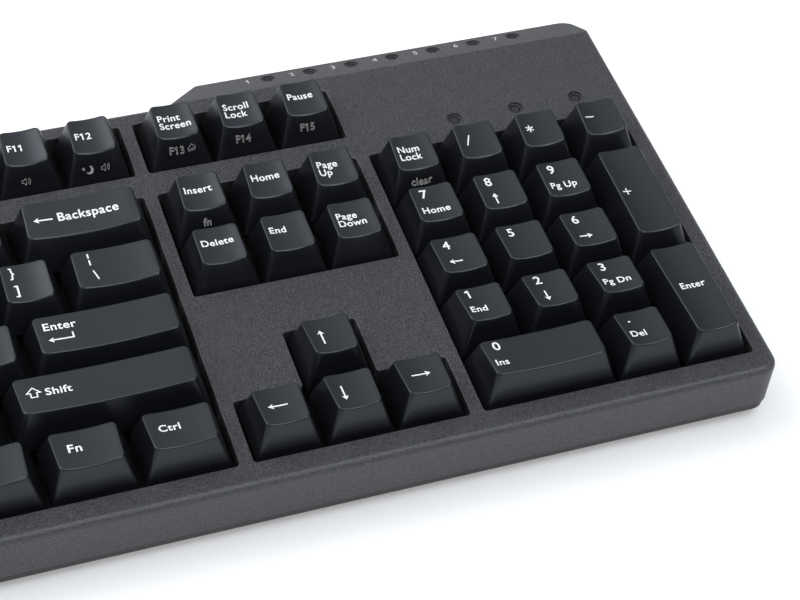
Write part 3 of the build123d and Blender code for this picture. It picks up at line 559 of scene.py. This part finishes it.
def geometry_tree(name, inputs):
    """A geometry tree with named inputs: (name, socket type)."""
    tree = bpy.data.node_groups.new(name, "GeometryNodeTree")
    tree.interface.new_socket("Geometry", in_out="INPUT", socket_type="NodeSocketGeometry")
    for label, kind in inputs:
        tree.interface.new_socket(label, in_out="INPUT", socket_type=kind)
    tree.interface.new_socket("Geometry", in_out="OUTPUT", socket_type="NodeSocketGeometry")
    return tree, add_node(tree, "NodeGroupInput"), add_node(tree, "NodeGroupOutput")


def shapes_on_places():
    """Stands one of a collection's shapes on each point, picked by the point's own number."""
    tree, given, out = geometry_tree("Shapes on places", (
        ("Shapes", "NodeSocketCollection"), ("Tilt", "NodeSocketFloat"),
        ("Finish", "NodeSocketMaterial")))
    shapes = preset(add_node(tree, "GeometryNodeCollectionInfo"), Separate_Children=True,
                    Reset_Children=True)
    kind = preset(add_node(tree, "GeometryNodeInputNamedAttribute", data_type="INT"), Name="shape")
    turn = add_node(tree, "ShaderNodeCombineXYZ")
    stand = preset(add_node(tree, "GeometryNodeInstanceOnPoints"), Pick_Instance=True)
    real = add_node(tree, "GeometryNodeRealizeInstances")
    finish = add_node(tree, "GeometryNodeSetMaterial")
    connect(tree, (given, "Shapes", shapes, "Collection"), (given, "Geometry", stand, "Points"),
            (shapes, "Instances", stand, "Instance"), (kind, "Attribute", stand, "Instance Index"),
            (given, "Tilt", turn, "X"), (turn, "Vector", stand, "Rotation"),
            (stand, "Instances", real, "Geometry"), (real, "Geometry", finish, "Geometry"),
            (given, "Finish", finish, "Material"), (finish, "Geometry", out, "Geometry"))
    return tree


def grown(name, mesh, tree, values):
    """A piece made by a tree from a mesh, as a plain mesh at the origin."""
    piece = add_object(name, mesh)
    modifier = piece.modifiers.new(name, "NODES")
    modifier.node_group = tree
    sockets = {item.name: item.identifier for item in tree.interface.items_tree
               if item.in_out == "INPUT"}
    for label, value in values.items():
        modifier[sockets[label]] = value
    depsgraph = bpy.context.evaluated_depsgraph_get()
    made = bpy.data.meshes.new_from_object(piece.evaluated_get(depsgraph))
    piece.modifiers.remove(modifier)
    piece.data = smooth(made)
    made.name = name
    return piece


# ---- Materials -----------------------------------------------------------------------------------
class Paint:
    """A material under construction, with its shader and object coordinates."""

    def __init__(self, name, base, roughness, **sockets):
        self.material = bpy.data.materials.new(name)
        self.material.use_nodes = True
        self.tree = self.material.node_tree
        self.shader = self.tree.nodes["Principled BSDF"]
        self.shader.inputs["Base Color"].default_value = (*base, 1)
        self.shader.inputs["Roughness"].default_value = roughness
        preset(self.shader, **sockets)
        self.place = add_node(self.tree, "ShaderNodeTexCoord").outputs["Object"]

    def noise(self, size, detail=3.0, source=None):
        """Noise whose features are about this long."""
        node = preset(add_node(self.tree, "ShaderNodeTexNoise"), Scale=1 / size, Detail=detail)
        self.tree.links.new(source or self.place, node.inputs["Vector"])
        return node.outputs["Fac"]

    def cells(self, size, feature="F1", source=None):
        node = preset(add_node(self.tree, "ShaderNodeTexVoronoi", feature=feature), Scale=1 / size)
        self.tree.links.new(source or self.place, node.inputs["Vector"])
        return node.outputs["Distance"]

    def math(self, operation, *values):
        node = add_node(self.tree, "ShaderNodeMath", operation=operation)
        for socket, value in zip(node.inputs, values):
            if isinstance(value, (int, float)):
                socket.default_value = value
            else:
                self.tree.links.new(value, socket)
        return node.outputs[0]

    def ramp(self, value, low, high):
        """A value in 0 to 1 stretched to a range."""
        node = preset(add_node(self.tree, "ShaderNodeMapRange"), To_Min=low, To_Max=high)
        self.tree.links.new(value, node.inputs["Value"])
        return node.outputs["Result"]

    def tint(self, value, low, high):
        """Base colour between two colours."""
        node = add_node(self.tree, "ShaderNodeMix", data_type="RGBA")
        sockets = {s.identifier: s for s in node.inputs}
        sockets["A_Color"].default_value = (*low, 1)
        sockets["B_Color"].default_value = (*high, 1)
        self.tree.links.new(value, sockets["Factor_Float"])
        out = {s.identifier: s for s in node.outputs}["Result_Color"]
        self.tree.links.new(out, self.shader.inputs["Base Color"])
        return self

    def rough(self, value, low, high):
        self.tree.links.new(self.ramp(value, low, high), self.shader.inputs["Roughness"])
        return self

    def bump(self, height, distance, strength=1.0):
        node = preset(add_node(self.tree, "ShaderNodeBump"), Distance=distance)
        if isinstance(strength, (int, float)):
            node.inputs["Strength"].default_value = strength
        else:
            self.tree.links.new(strength, node.inputs["Strength"])
        self.tree.links.new(height, node.inputs["Height"])
        self.tree.links.new(node.outputs["Normal"], self.shader.inputs["Normal"])
        return self


def shade(rgb, factor):
    return tuple(min(1.0, c * factor) for c in rgb)


def cap_plastic():
    """Fine satin plastic with a faint grain."""
    finish = settings("keyboard_finish")
    # the specular tint paints the reflections blue: a painted cool cast that stands in for the light's
    # colour
    paint = Paint("cap_plastic", finish.cap, 0.32, Specular_Tint=(0.84, 0.91, 1.0, 1))
    cloud = paint.noise(6 * MM, 2.0)
    paint.tint(cloud, shade(finish.cap, 0.85), shade(finish.cap, 1.2))
    paint.rough(paint.noise(0.4 * MM, 2.0), 0.28, 0.36)
    return paint.bump(paint.noise(0.22 * MM, 2.0), 0.006 * MM).material


DECK_FROM, DECK_FULL = 0.96, 0.995     # cosines to the deck where its texture begins and is full
LEANING_GRAIN = 0.22                    # share of the texture on the faces that lean or stand


def case_plastic():
    """Pebbled charcoal plastic on the deck, smoother on the faces that lean or stand; its colour is lighter
    on the pebbles' tops and darker between them, a painted highlight and painted shade.
    """
    finish, deck = settings("keyboard_finish"), settings("keyboard_deck")
    # the specular tint paints the reflections slightly blue: a painted cool cast that stands in for the
    # light's colour
    paint = Paint("case_plastic", finish.case, 0.5, Specular_Tint=(0.93, 0.95, 1.0, 1))
    geometry = add_node(paint.tree, "ShaderNodeNewGeometry")
    facing = add_node(paint.tree, "ShaderNodeVectorMath", operation="DOT_PRODUCT")
    facing.inputs[1].default_value = (0, -sin(deck.tilt), cos(deck.tilt))
    paint.tree.links.new(geometry.outputs["True Normal"], facing.inputs[0])
    flat = preset(add_node(paint.tree, "ShaderNodeMapRange"), From_Min=DECK_FROM,
                  From_Max=DECK_FULL, To_Min=LEANING_GRAIN)
    paint.tree.links.new(facing.outputs["Value"], flat.inputs["Value"])
    pebble = paint.cells(finish.grain, "SMOOTH_F1")
    fine = paint.noise(finish.grain / 2, 3.0)
    height = paint.math("ADD", paint.math("MULTIPLY", pebble, 0.7), paint.math("MULTIPLY", fine, 0.6))
    # painted highlight and shade: the colour follows the pebbles' height, lighter on their tops and darker
    # in the hollows, on every face
    paint.tint(paint.ramp(height, -1.2, 2.2), shade(finish.case, 0.45), shade(finish.case, 1.7))
    paint.rough(paint.noise(2 * MM, 2.0), 0.42, 0.52)
    return paint.bump(height, finish.grain_depth, flat.outputs["Result"]).material


def tray_plastic():
    finish = settings("keyboard_finish")
    paint = Paint("tray_plastic", finish.case, 0.55)
    paint.tint(paint.noise(3 * MM), shade(finish.case, 0.8), shade(finish.case, 1.0))
    return paint.bump(paint.noise(0.4 * MM), 0.02 * MM).material


def housing_plastic():
    paint = Paint("housing_plastic", (0.006, 0.006, 0.007), 0.5, Specular_IOR_Level=0.3)
    paint.rough(paint.noise(1.5 * MM), 0.4, 0.55)
    return paint.bump(paint.noise(0.3 * MM), 0.01 * MM).material


def painted_steel():
    paint = Paint("painted_steel", (0.004, 0.004, 0.004), 0.6, Specular_IOR_Level=0.2)
    paint.rough(paint.noise(1 * MM), 0.45, 0.6)
    return paint.bump(paint.cells(0.35 * MM), 0.01 * MM).material


def board_lacquer():
    """Green lacquer over fine copper tracks."""
    paint = Paint("board_lacquer", (0.01, 0.08, 0.035), 0.35, Coat_Weight=0.4, Coat_Roughness=0.15)
    wave = add_node(paint.tree, "ShaderNodeTexWave", wave_type="BANDS", bands_direction="DIAGONAL")
    preset(wave, Scale=1 / (9 * MM), Distortion=3.0)
    paint.tree.links.new(paint.place, wave.inputs["Vector"])
    tracks = paint.math("GREATER_THAN", wave.outputs["Fac"], 0.6)
    paint.tint(tracks, (0.008, 0.06, 0.028), (0.02, 0.13, 0.05))
    return paint.bump(tracks, 0.02 * MM).material


def brushed_metal(name, base, roughness):
    """Steel with fine lines along X."""
    paint = Paint(name, base, roughness, Metallic=1.0)
    stretch = preset(add_node(paint.tree, "ShaderNodeMapping"), Scale=(0.05, 1, 1))
    paint.tree.links.new(paint.place, stretch.inputs["Vector"])
    lines = paint.noise(0.15 * MM, 3.0, stretch.outputs["Vector"])
    paint.rough(lines, roughness * 0.8, roughness * 1.3)
    return paint.bump(lines, 0.004 * MM).material


def natural_plastic():
    paint = Paint("natural_plastic", (0.62, 0.61, 0.56), 0.45, Subsurface_Weight=0.1)
    paint.tint(paint.noise(2 * MM), (0.55, 0.54, 0.5), (0.65, 0.64, 0.6))
    return paint.material


def lamp_lens():
    """Lens of an unlit lamp, made near black: painted shade that stands in for the dark recess behind it.
    """
    paint = Paint("lamp_lens", (0.006, 0.007, 0.008), 0.25)
    paint.rough(paint.noise(0.5 * MM), 0.1, 0.25)
    return paint.material


def cell_wrap():
    """Shrink sleeve, dark with a faint cloudy tone."""
    paint = Paint("cell_wrap", (0.3, 0.2, 0.06), 0.3, Metallic=0.4, Coat_Weight=0.5)
    paint.tint(paint.noise(4 * MM), (0.02, 0.02, 0.022), (0.05, 0.05, 0.055))
    return paint.bump(paint.noise(1.5 * MM), 0.02 * MM).material


def rubber():
    paint = Paint("rubber", (0.018, 0.018, 0.018), 0.8)
    paint.tint(paint.noise(1.2 * MM), (0.014, 0.014, 0.014), (0.024, 0.024, 0.024))
    return paint.bump(paint.cells(0.7 * MM), 0.04 * MM).material


def ink(name, rgb, roughness):
    paint = Paint(name, rgb, roughness)
    return paint.tint(paint.noise(0.8 * MM), shade(rgb, 0.95), rgb).material


MAKERS = {
    "case_shell": case_plastic,
    "case_tray": tray_plastic,
    "keycap": cap_plastic,
    "plate_steel": painted_steel,
    "board": board_lacquer,
    "switch_housing": housing_plastic,
    "spring_steel": lambda: brushed_metal("spring_steel", (0.6, 0.59, 0.57), 0.25),
    "clip_plastic": natural_plastic,
    "lamp_clear": lamp_lens,
    "switch_knob": housing_plastic,
    "socket_metal": lambda: brushed_metal("socket_metal", (0.56, 0.55, 0.53), 0.3),
    "cell_wrap": cell_wrap,
    "pad_rubber": rubber,
    "screw_steel": lambda: brushed_metal("screw_steel", (0.25, 0.25, 0.26), 0.35),
}


MATERIALS = {}      # names of the materials made so far, by record slot


def finish_of(slot):
    """The one material of a record slot."""
    made = bpy.data.materials.get(MATERIALS.get(slot, ""))
    if made is None:
        made = MAKERS[slot]()
        MATERIALS[slot] = made.name
    return made


# ---- Ink -----------------------------------------------------------------------------------------
CAPITAL = 0.682     # height of the built-in face's capitals
LETTER_SPACE = 1.07
# the small flag at the top of a one, from its stem's right side
ONE_FLAG = ((-0.13, 1.0), (-0.36, 0.84), (-0.36, 0.70), (-0.13, 0.80))
# widths of drawn signs' strokes, and the step of the cuts that let ink follow a hollow, in millimetres
FINE, BAR, OPEN, OPERATOR, DIAMOND, HOOK = 0.13, 0.16, 0.26, 0.36, 0.42, 0.44
SLICE = 0.9


def plain_glyphs(text):
    """Flat outline faces of a text in the built-in face, its capitals 1 high: (points, faces)."""
    curve = bpy.data.curves.new("legend", "FONT")
    curve.body, curve.space_character = text, LETTER_SPACE
    carrier = bpy.data.objects.new("legend", curve)
    mesh = bpy.data.meshes.new_from_object(carrier)
    points = [Vector((v.co.x, v.co.y)) for v in mesh.vertices]
    faces = [tuple(p.vertices) for p in mesh.polygons]
    bpy.data.objects.remove(carrier)
    bpy.data.curves.remove(curve)
    bpy.data.meshes.remove(mesh)
    left = min(p.x for p in points)
    return [Vector((p.x - left, p.y)) / CAPITAL for p in points], faces


def glyph_shape(text):
    """A text's outline faces, with a flag on each figure one."""
    points, faces = plain_glyphs(text)
    for i, sign in enumerate(text):
        if sign == "1":
            right = max(p.x for p in plain_glyphs(text[:i + 1])[0])
            faces.append(tuple(range(len(points), len(points) + len(ONE_FLAG))))
            points += [Vector((right + x, y)) for x, y in ONE_FLAG]
    return points, faces


def arrow_shape(turn, size):
    """A slim arrow about its middle."""
    half, shaft, wing, head = size / 2, 0.22, 0.95, 1.45
    outline = [(-half, -shaft), (half - head + 0.25, -shaft), (half - head, -wing), (half, 0),
               (half - head, wing), (half - head + 0.25, shaft), (-half, shaft)]
    spin = Matrix.Rotation(radians({"right": 0, "up": 90, "left": 180, "down": 270}[turn]), 2)
    points = [spin @ Vector(p) for p in outline]
    return points, [(0, 1, 5, 6), (1, 2, 3), (1, 3, 5), (3, 4, 5)]


def ribbon(path, width, closed=False):
    """A band of even width along a path, with mitred corners."""
    points, n = [], len(path)
    for i, p in enumerate(map(Vector, path)):
        before = Vector(path[i - 1]) if closed or i else None
        after = Vector(path[(i + 1) % n]) if closed or i < n - 1 else None
        a = (p - before).normalized() if before is not None else (after - p).normalized()
        b = (after - p).normalized() if after is not None else a
        side = (Vector((-a.y, a.x)) + Vector((-b.y, b.x))).normalized()
        reach = width / 2 / side.dot(Vector((-a.y, a.x)))
        points += [p + side * reach, p - side * reach]
    last = n if closed else n - 1
    faces = [(2 * i + 1, (2 * i + 3) % (2 * n), (2 * i + 2) % (2 * n), 2 * i) for i in range(last)]
    return points, faces


def joined(*shapes):
    """Several flat shapes as one."""
    points, faces = [], []
    for more, quads in shapes:
        faces += [tuple(i + len(points) for i in face) for face in quads]
        points += more
    return points, faces


def outlined(points, faces, width):
    """The outline of a flat shape, as a thin band."""
    following = dict(edge_faces(faces))
    bands = []
    while following:
        start = at = next(iter(following))
        loop = []
        while at in following:
            loop.append(points[at])
            at = following.pop(at)
        if at == start and len(loop) > 2:
            bands.append(ribbon(loop, width, True))
    return joined(*bands)


def arc(x, y, radius, start, end, steps=8):
    """Points along an arc, its angles in degrees."""
    turns = [radians(start + (end - start) * i / steps) for i in range(steps + 1)]
    return [(x + radius * cos(t), y + radius * sin(t)) for t in turns]


def speaker_shape():
    """A small loudspeaker with two waves."""
    horn = [(-1.3, -0.35), (-0.8, -0.35), (-0.1, -0.9), (-0.1, 0.9), (-0.8, 0.35), (-1.3, 0.35)]
    waves = [ribbon(arc(-0.1, 0, r, -50, 50), FINE) for r in (0.75, 1.2)]
    return joined(ribbon(horn, FINE, True), *waves)


def eject_shape():
    """A hollow wedge over a bar."""
    wedge = ribbon([(-1.1, 0), (1.1, 0), (1.1, 0.25), (0, 1.25), (-1.1, 0.25)], FINE, True)
    return joined(wedge, ribbon([(-1.1, -0.45), (1.1, -0.45)], BAR))


def moon_shape():
    """A star and a crescent."""
    star = [(cos(radians(90 + 36 * i)) * r - 1.6, sin(radians(90 + 36 * i)) * r + 0.2)
            for i, r in enumerate([0.6, 0.24] * 5)]
    outer, inner = arc(0, 0, 1.2, -150, 60), arc(-0.55, 0.25, 1.0, -138, 52)
    crescent = [Vector(p) for p in outer + list(reversed(inner))]
    n = len(outer)
    quads = [(i, i + 1, 2 * n - 2 - i, 2 * n - 1 - i) for i in range(n - 1)]
    return joined(([Vector(p) for p in star], [tuple(range(10))]), (crescent, quads))


def return_shape():
    """A hooked arrow to the left."""
    return joined(arrow_shape("left", 6.84), ribbon([(3.2, 0.2), (3.2, 1.9)], HOOK))


def shift_shape():
    """An open arrow that points up."""
    path = [(-0.62, -1.1), (0.62, -1.1), (0.62, 0.1), (1.35, 0.1), (0, 1.55), (-1.35, 0.1),
            (-0.62, 0.1)]
    return ribbon(path, OPEN, True)


def diamond_shape():
    return ribbon([(0, -1.4), (1.4, 0), (0, 1.4), (-1.4, 0)], DIAMOND, True)


STROKES = {
    "plus": [[(-1.25, 0), (1.25, 0)], [(0, -1.25), (0, 1.25)]],
    "minus": [[(-1.3, 0), (1.3, 0)]],
    "slash": [[(-0.75, -1.75), (0.75, 1.75)]],
    "star": [[(-1.25 * cos(a), -1.25 * sin(a)), (1.25 * cos(a), 1.25 * sin(a))]
             for a in (pi / 2, pi / 6, -pi / 6)],
}
SIGNS = {"return": return_shape, "shift": shift_shape, "diamond": diamond_shape,
         "speaker": speaker_shape, "moon": moon_shape, "eject": eject_shape}
FRONT_KINDS = ("front", "speaker", "moon", "eject")


def mark_shape(mark):
    """A mark's flat faces in millimetres about its own place."""
    sizes = settings("keyboard_ink")
    kind, *rest = mark.kind.split()
    if kind == "arrow":
        return arrow_shape(rest[0], float(rest[1]))
    if kind in SIGNS:
        return SIGNS[kind]()
    if kind in STROKES:
        return joined(*[ribbon(stroke, OPERATOR) for stroke in STROKES[kind]])
    tall = {"word": sizes.word, "sign": sizes.sign, "front": sizes.small}[kind] / MM
    points, faces = glyph_shape(mark.text)
    points = [p * tall for p in points]
    return outlined(points, faces, sizes.line / MM) if kind == "front" else (points, faces)


def edge_faces(faces):
    """Directed edges that only one face has."""
    seen = {}
    for face in faces:
        for i, a in enumerate(face):
            seen[(a, face[(i + 1) % len(face)])] = True
    return [e for e in seen if (e[1], e[0]) not in seen]


def fattened(points, faces, amount):
    """Moves a flat shape's outline outwards."""
    push = [Vector((0, 0)) for _ in points]
    for a, b in edge_faces(faces):
        run = (points[b] - points[a]).normalized()
        out = Vector((run.y, -run.x))
        push[a] += out
        push[b] += out
    moved = []
    for p, d in zip(points, push):
        square = d.length_squared
        moved.append(p + d * min(2 * amount / square, 2 * amount) if square > 1e-9 else p)
    return moved


def sliced(points, faces, pitch):
    """Cuts flat faces at even steps of x, so that they can follow a hollow."""
    bm = bmesh.new()
    vertices = [bm.verts.new((p.x, p.y, 0)) for p in points]
    for face in faces:
        try:
            bm.faces.new([vertices[i] for i in face])
        except ValueError:
            continue
    bmesh.ops.remove_doubles(bm, verts=bm.verts[:], dist=1e-5)
    low, high = min(p.x for p in points), max(p.x for p in points)
    x = low + pitch
    while x < high:
        geometry = bm.verts[:] + bm.edges[:] + bm.faces[:]
        bmesh.ops.bisect_plane(bm, geom=geometry, plane_co=(x, 0, 0), plane_no=(1, 0, 0))
        x += pitch
    bmesh.ops.recalc_face_normals(bm, faces=bm.faces[:])
    bm.verts.index_update()
    up = sum(f.normal.z * f.calc_area() for f in bm.faces) > 0
    cut = [tuple(v.index for v in (f.verts if up else reversed(f.verts[:]))) for f in bm.faces]
    placed = [Vector((v.co.x, v.co.y)) for v in bm.verts]
    bm.free()
    return placed, cut


class InkLayer:
    """Thin closed solids of ink, gathered into one mesh."""

    def __init__(self):
        self.points, self.faces = [], []

    def print(self, points, faces, surface):
        """Adds a flat shape, laid on a surface: a function of x, y and lift."""
        sizes = settings("keyboard_ink")
        start, count = len(self.points), len(points)
        self.points += [surface(p.x * MM, p.y * MM, sizes.lift) for p in points]
        self.points += [surface(p.x * MM, p.y * MM, -sizes.depth) for p in points]
        self.faces += [tuple(start + i for i in f) for f in faces]
        self.faces += [tuple(start + count + i for i in reversed(f)) for f in faces]
        self.faces += [(start + b, start + a, start + count + a, start + count + b)
                       for a, b in edge_faces(faces)]

    def piece(self, name, material):
        mesh = bpy.data.meshes.new(name)
        mesh.from_pydata(self.points, [], self.faces)
        mesh.materials.append(material)
        return add_object(name, mesh)


def print_key(layers, key, deck):
    """Prints one key's marks on its top and its front face."""
    sizes, unit = settings("keyboard_ink"), settings("keyboard_deck").unit
    cap = Cap(key.width, key.depth, key.profile)
    at = deck @ Matrix.Translation((key.x * unit, key.y * unit, 0))
    left = -cap.half_top + sizes.margin

    def top(x, y, lift):
        return at @ Vector((x, y, cap.top(x, y) + lift))

    def fore(x, y, lift):
        point = cap.front_face(x, sizes.drop - y)
        return at @ (point + Vector((0, -lift, 0)))

    for mark in key.marks:
        points, faces = mark_shape(mark)
        front_print = mark.kind in FRONT_KINDS
        if mark.kind in ("word", "sign"):
            points = fattened(points, faces, sizes.weight / MM)
        points = [p * mark.scale + Vector((left / MM + mark.x, mark.y)) for p in points]
        points, faces = sliced(points, faces, SLICE)
        layer = layers.setdefault("front" if front_print else "top", InkLayer())
        layer.print(points, faces, fore if front_print else top)


# ---- Operators -----------------------------------------------------------------------------------
class KEYBOARD_OT_keycaps(bpy.types.Operator):
    """Makes the keycaps and their sliders, one piece of each for every moving body"""

    bl_idname = "keyboard.keycaps"
    bl_label = "Keycaps"

    def execute(self, context):
        deck, unit = deck_matrix(), settings("keyboard_deck").unit
        kinds = sorted({(k.width, k.depth, k.profile) for k in KEYS})
        caps = bpy.data.collections.new("cap_shapes")
        for i, kind in enumerate(kinds):
            name = f"cap_shape_{i:02}"
            caps.objects.link(bpy.data.objects.new(name, cap_mesh(name, *kind)))
        sliders = bpy.data.collections.new("slider_shapes")
        sliders.objects.link(bpy.data.objects.new("slider_shape", slider_mesh("slider_shape")))
        tree = shapes_on_places()
        tilt = settings("keyboard_deck").tilt
        for base, body, keys in keys_by_body():
            places = [deck @ Vector((k.x * unit, k.y * unit, 0)) for k in keys]
            numbers = [kinds.index((k.width, k.depth, k.profile)) for k in keys]
            for end, shapes, picked, slot in (
                    ("keycap", caps, numbers, "keycap"),
                    ("slider", sliders, [0] * len(keys), "switch_housing")):
                mesh = bpy.data.meshes.new("places")
                mesh.from_pydata(places, [], [])
                mesh.attributes.new("shape", "INT", "POINT").data.foreach_set("value", picked)
                values = {"Shapes": shapes, "Tilt": tilt, "Finish": finish_of(slot)}
                piece = grown(f"{base}_{end}", mesh, tree, values)
                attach(piece, body)
            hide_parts(body)
        return {"FINISHED"}


class KEYBOARD_OT_legends(bpy.types.Operator):
    """Prints the legends on the keycaps"""

    bl_idname = "keyboard.legends"
    bl_label = "Legends"

    def execute(self, context):
        deck, sizes = deck_matrix(), settings("keyboard_ink")
        inks = {"top": ink("legend_ink", sizes.white, 0.5),
                "front": ink("front_ink", sizes.grey, 0.6)}
        for base, body, keys in keys_by_body():
            layers = {}
            for key in keys:
                print_key(layers, key, deck)
            for side, layer in layers.items():
                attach(layer.piece(f"{base}_{side}_legend", inks[side]), body)
        return {"FINISHED"}


PANEL_LAMPS = 7
PANEL_INK = (0.6, 0.6, 0.6)


class KEYBOARD_OT_panel_marks(bpy.types.Operator):
    """Prints the numbers beside the lamps of the rear panel"""

    bl_idname = "keyboard.panel_marks"
    bl_label = "Panel marks"

    def execute(self, context):
        sizes, inks, deck = settings("keyboard_deck"), settings("keyboard_ink"), deck_matrix()
        slope = Matrix.Translation((0, sizes.rear_edge, 0)) @ Matrix.Rotation(-sizes.slope, 4, "X")
        layer = InkLayer()

        def panel(x, y, lift):
            return deck @ slope @ Vector((x, y, lift))

        for i in range(PANEL_LAMPS):
            points, faces = glyph_shape(str(i + 1))
            place = Vector((sizes.lamp_left + sizes.lamp_pitch * i - inks.aside, sizes.lamp_rise))
            layer.print([(p * inks.panel + place) / MM for p in points], faces, panel)
        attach(layer.piece("panel_marks", ink("panel_ink", PANEL_INK, 0.5)), "case")
        return {"FINISHED"}


class KEYBOARD_OT_finishes(bpy.types.Operator):
    """Gives every other part of the keyboard its finish"""

    bl_idname = "keyboard.finishes"
    bl_label = "Finishes"

    def execute(self, context):
        slots = {part["node"]: part["material_slot"] for part in frame["record"]["subparts"]}
        for name, node in frame["nodes"].items():
            if node.hide_render:
                continue
            node.data.materials.clear()
            node.data.materials.append(finish_of(slots[name]))
        return {"FINISHED"}


class KEYBOARD_OT_stage(bpy.types.Operator):
    """Sets the floor, the soft light and the camera"""

    bl_idname = "keyboard.stage"
    bl_label = "Stage"

    def execute(self, context):
        stage, scene = settings("keyboard_stage"), context.scene
        camera = add_object("camera", bpy.data.cameras.new("camera"))
        camera.data.lens, camera.data.sensor_width = stage.lens, SENSOR
        turn = Euler((pi / 2 - stage.down, 0, -stage.azimuth)).to_matrix()
        turn = turn @ Matrix.Rotation(stage.roll, 3, "Z")
        camera.matrix_world = Matrix.Translation(stage.eye) @ turn.to_4x4()
        scene.camera = camera
        self.floor(stage)
        self.lights(scene, stage)
        scene.view_settings.view_transform = "Standard"
        return {"FINISHED"}

    def floor(self, stage):
        """A wide pale floor: white to the camera with the shadow kept, and clear from below."""
        bm = bmesh.new()
        bmesh.ops.create_grid(bm, x_segments=8, y_segments=8, size=stage.reach)
        floor = add_object("floor", finish_mesh(bm, "floor"))
        paint = Paint("floor_paint", stage.floor, 0.9, Specular_IOR_Level=0.1)
        tree = paint.tree
        rays, side, clear, shown, glow, both = [add_node(tree, f"ShaderNode{kind}") for kind in (
            "LightPath", "NewGeometry", "BsdfTransparent", "MixShader", "Emission", "AddShader")]
        seen = paint.math("ADD", rays.outputs["Is Camera Ray"], rays.outputs["Is Glossy Ray"])
        seen = paint.math("ADD", seen, rays.outputs["Is Transmission Ray"])
        tree.links.new(paint.math("MULTIPLY", seen, stage.floor_glow), glow.inputs["Strength"])
        connect(tree, (paint.shader, 0, both, 0), (glow, 0, both, 1),
                (side, "Backfacing", shown, "Fac"), (both, 0, shown, 1), (clear, 0, shown, 2),
                (shown, 0, tree.nodes["Material Output"], "Surface"))
        floor.data.materials.append(paint.material)

    def lights(self, scene, stage):
        """An even sky with a broad and a small bright patch, and one broad soft box."""
        world = scene.world or bpy.data.worlds.new("studio")
        scene.world = world
        world.use_nodes = True
        tree = world.node_tree
        where = add_node(tree, "ShaderNodeTexCoord")

        def patch(towards, spread, low, high, narrow=1.0):
            """A soft patch of sky in one direction, made narrower from side to side."""
            shape = Vector((narrow, 1, 1))
            squeezed, unit, lean = [add_node(tree, "ShaderNodeVectorMath", operation=work)
                                    for work in ("MULTIPLY", "NORMALIZE", "DOT_PRODUCT")]
            squeezed.inputs[1].default_value = shape
            lean.inputs[1].default_value = (Vector(towards) * shape).normalized()
            fall = preset(add_node(tree, "ShaderNodeMapRange", interpolation_type="SMOOTHSTEP"),
                          From_Min=spread[0], From_Max=spread[1], To_Min=low, To_Max=high)
            connect(tree, (where, "Generated", squeezed, 0), (squeezed, "Vector", unit, 0),
                    (unit, "Vector", lean, 0), (lean, "Value", fall, "Value"))
            return fall

        broad = patch(OVERHEAD, OVERHEAD_SPREAD, stage.sky, stage.sky + stage.glow)
        small = patch(EDGE_PATCH, EDGE_PATCH_SPREAD, 0.0, stage.rim, EDGE_PATCH_NARROW)
        total = add_node(tree, "ShaderNodeMath", operation="ADD")
        backdrop = preset(tree.nodes["Background"], Color=SKY_COLOUR)
        connect(tree, (broad, "Result", total, 0), (small, "Result", total, 1),
                (total, 0, backdrop, "Strength"))
        lamp = bpy.data.lights.new("soft_box", "AREA")
        lamp.shape, lamp.energy = "RECTANGLE", stage.lamp
        lamp.size, lamp.size_y = BOX_SIZE
        box = add_object("soft_box", lamp)
        box.location = BOX_PLACE
        box.rotation_euler = (-box.location).to_track_quat("-Z", "Y").to_euler()


OPERATORS = (KEYBOARD_OT_stage, KEYBOARD_OT_keycaps, KEYBOARD_OT_legends, KEYBOARD_OT_panel_marks,
             KEYBOARD_OT_finishes)


class KEYBOARD_PT_sidebar(bpy.types.Panel):
    """Lists the keyboard's steps and sizes"""

    bl_idname = "KEYBOARD_PT_sidebar"
    bl_label = "Keyboard"
    bl_space_type = "VIEW_3D"
    bl_region_type = "UI"
    bl_category = "Keyboard"

    def draw(self, context):
        for operator in OPERATORS:
            self.layout.operator(operator.bl_idname)
        for group, kind in GROUPS.items():
            box = self.layout.box()
            for name in kind.__annotations__:
                box.prop(getattr(context.scene, group), name)


def register():
    for kind in (*GROUPS.values(), *OPERATORS, KEYBOARD_PT_sidebar):
        bpy.utils.register_class(kind)
    for name, kind in GROUPS.items():
        setattr(bpy.types.Scene, name, bpy.props.PointerProperty(type=kind))


def unregister():
    for name in GROUPS:
        delattr(bpy.types.Scene, name)
    for kind in reversed((*GROUPS.values(), *OPERATORS, KEYBOARD_PT_sidebar)):
        bpy.utils.unregister_class(kind)


def main():
    register()
    for operator in OPERATORS:
        group, name = operator.bl_idname.split(".")
        getattr(getattr(bpy.ops, group), name)()


if __name__ == "__main__":
    main()
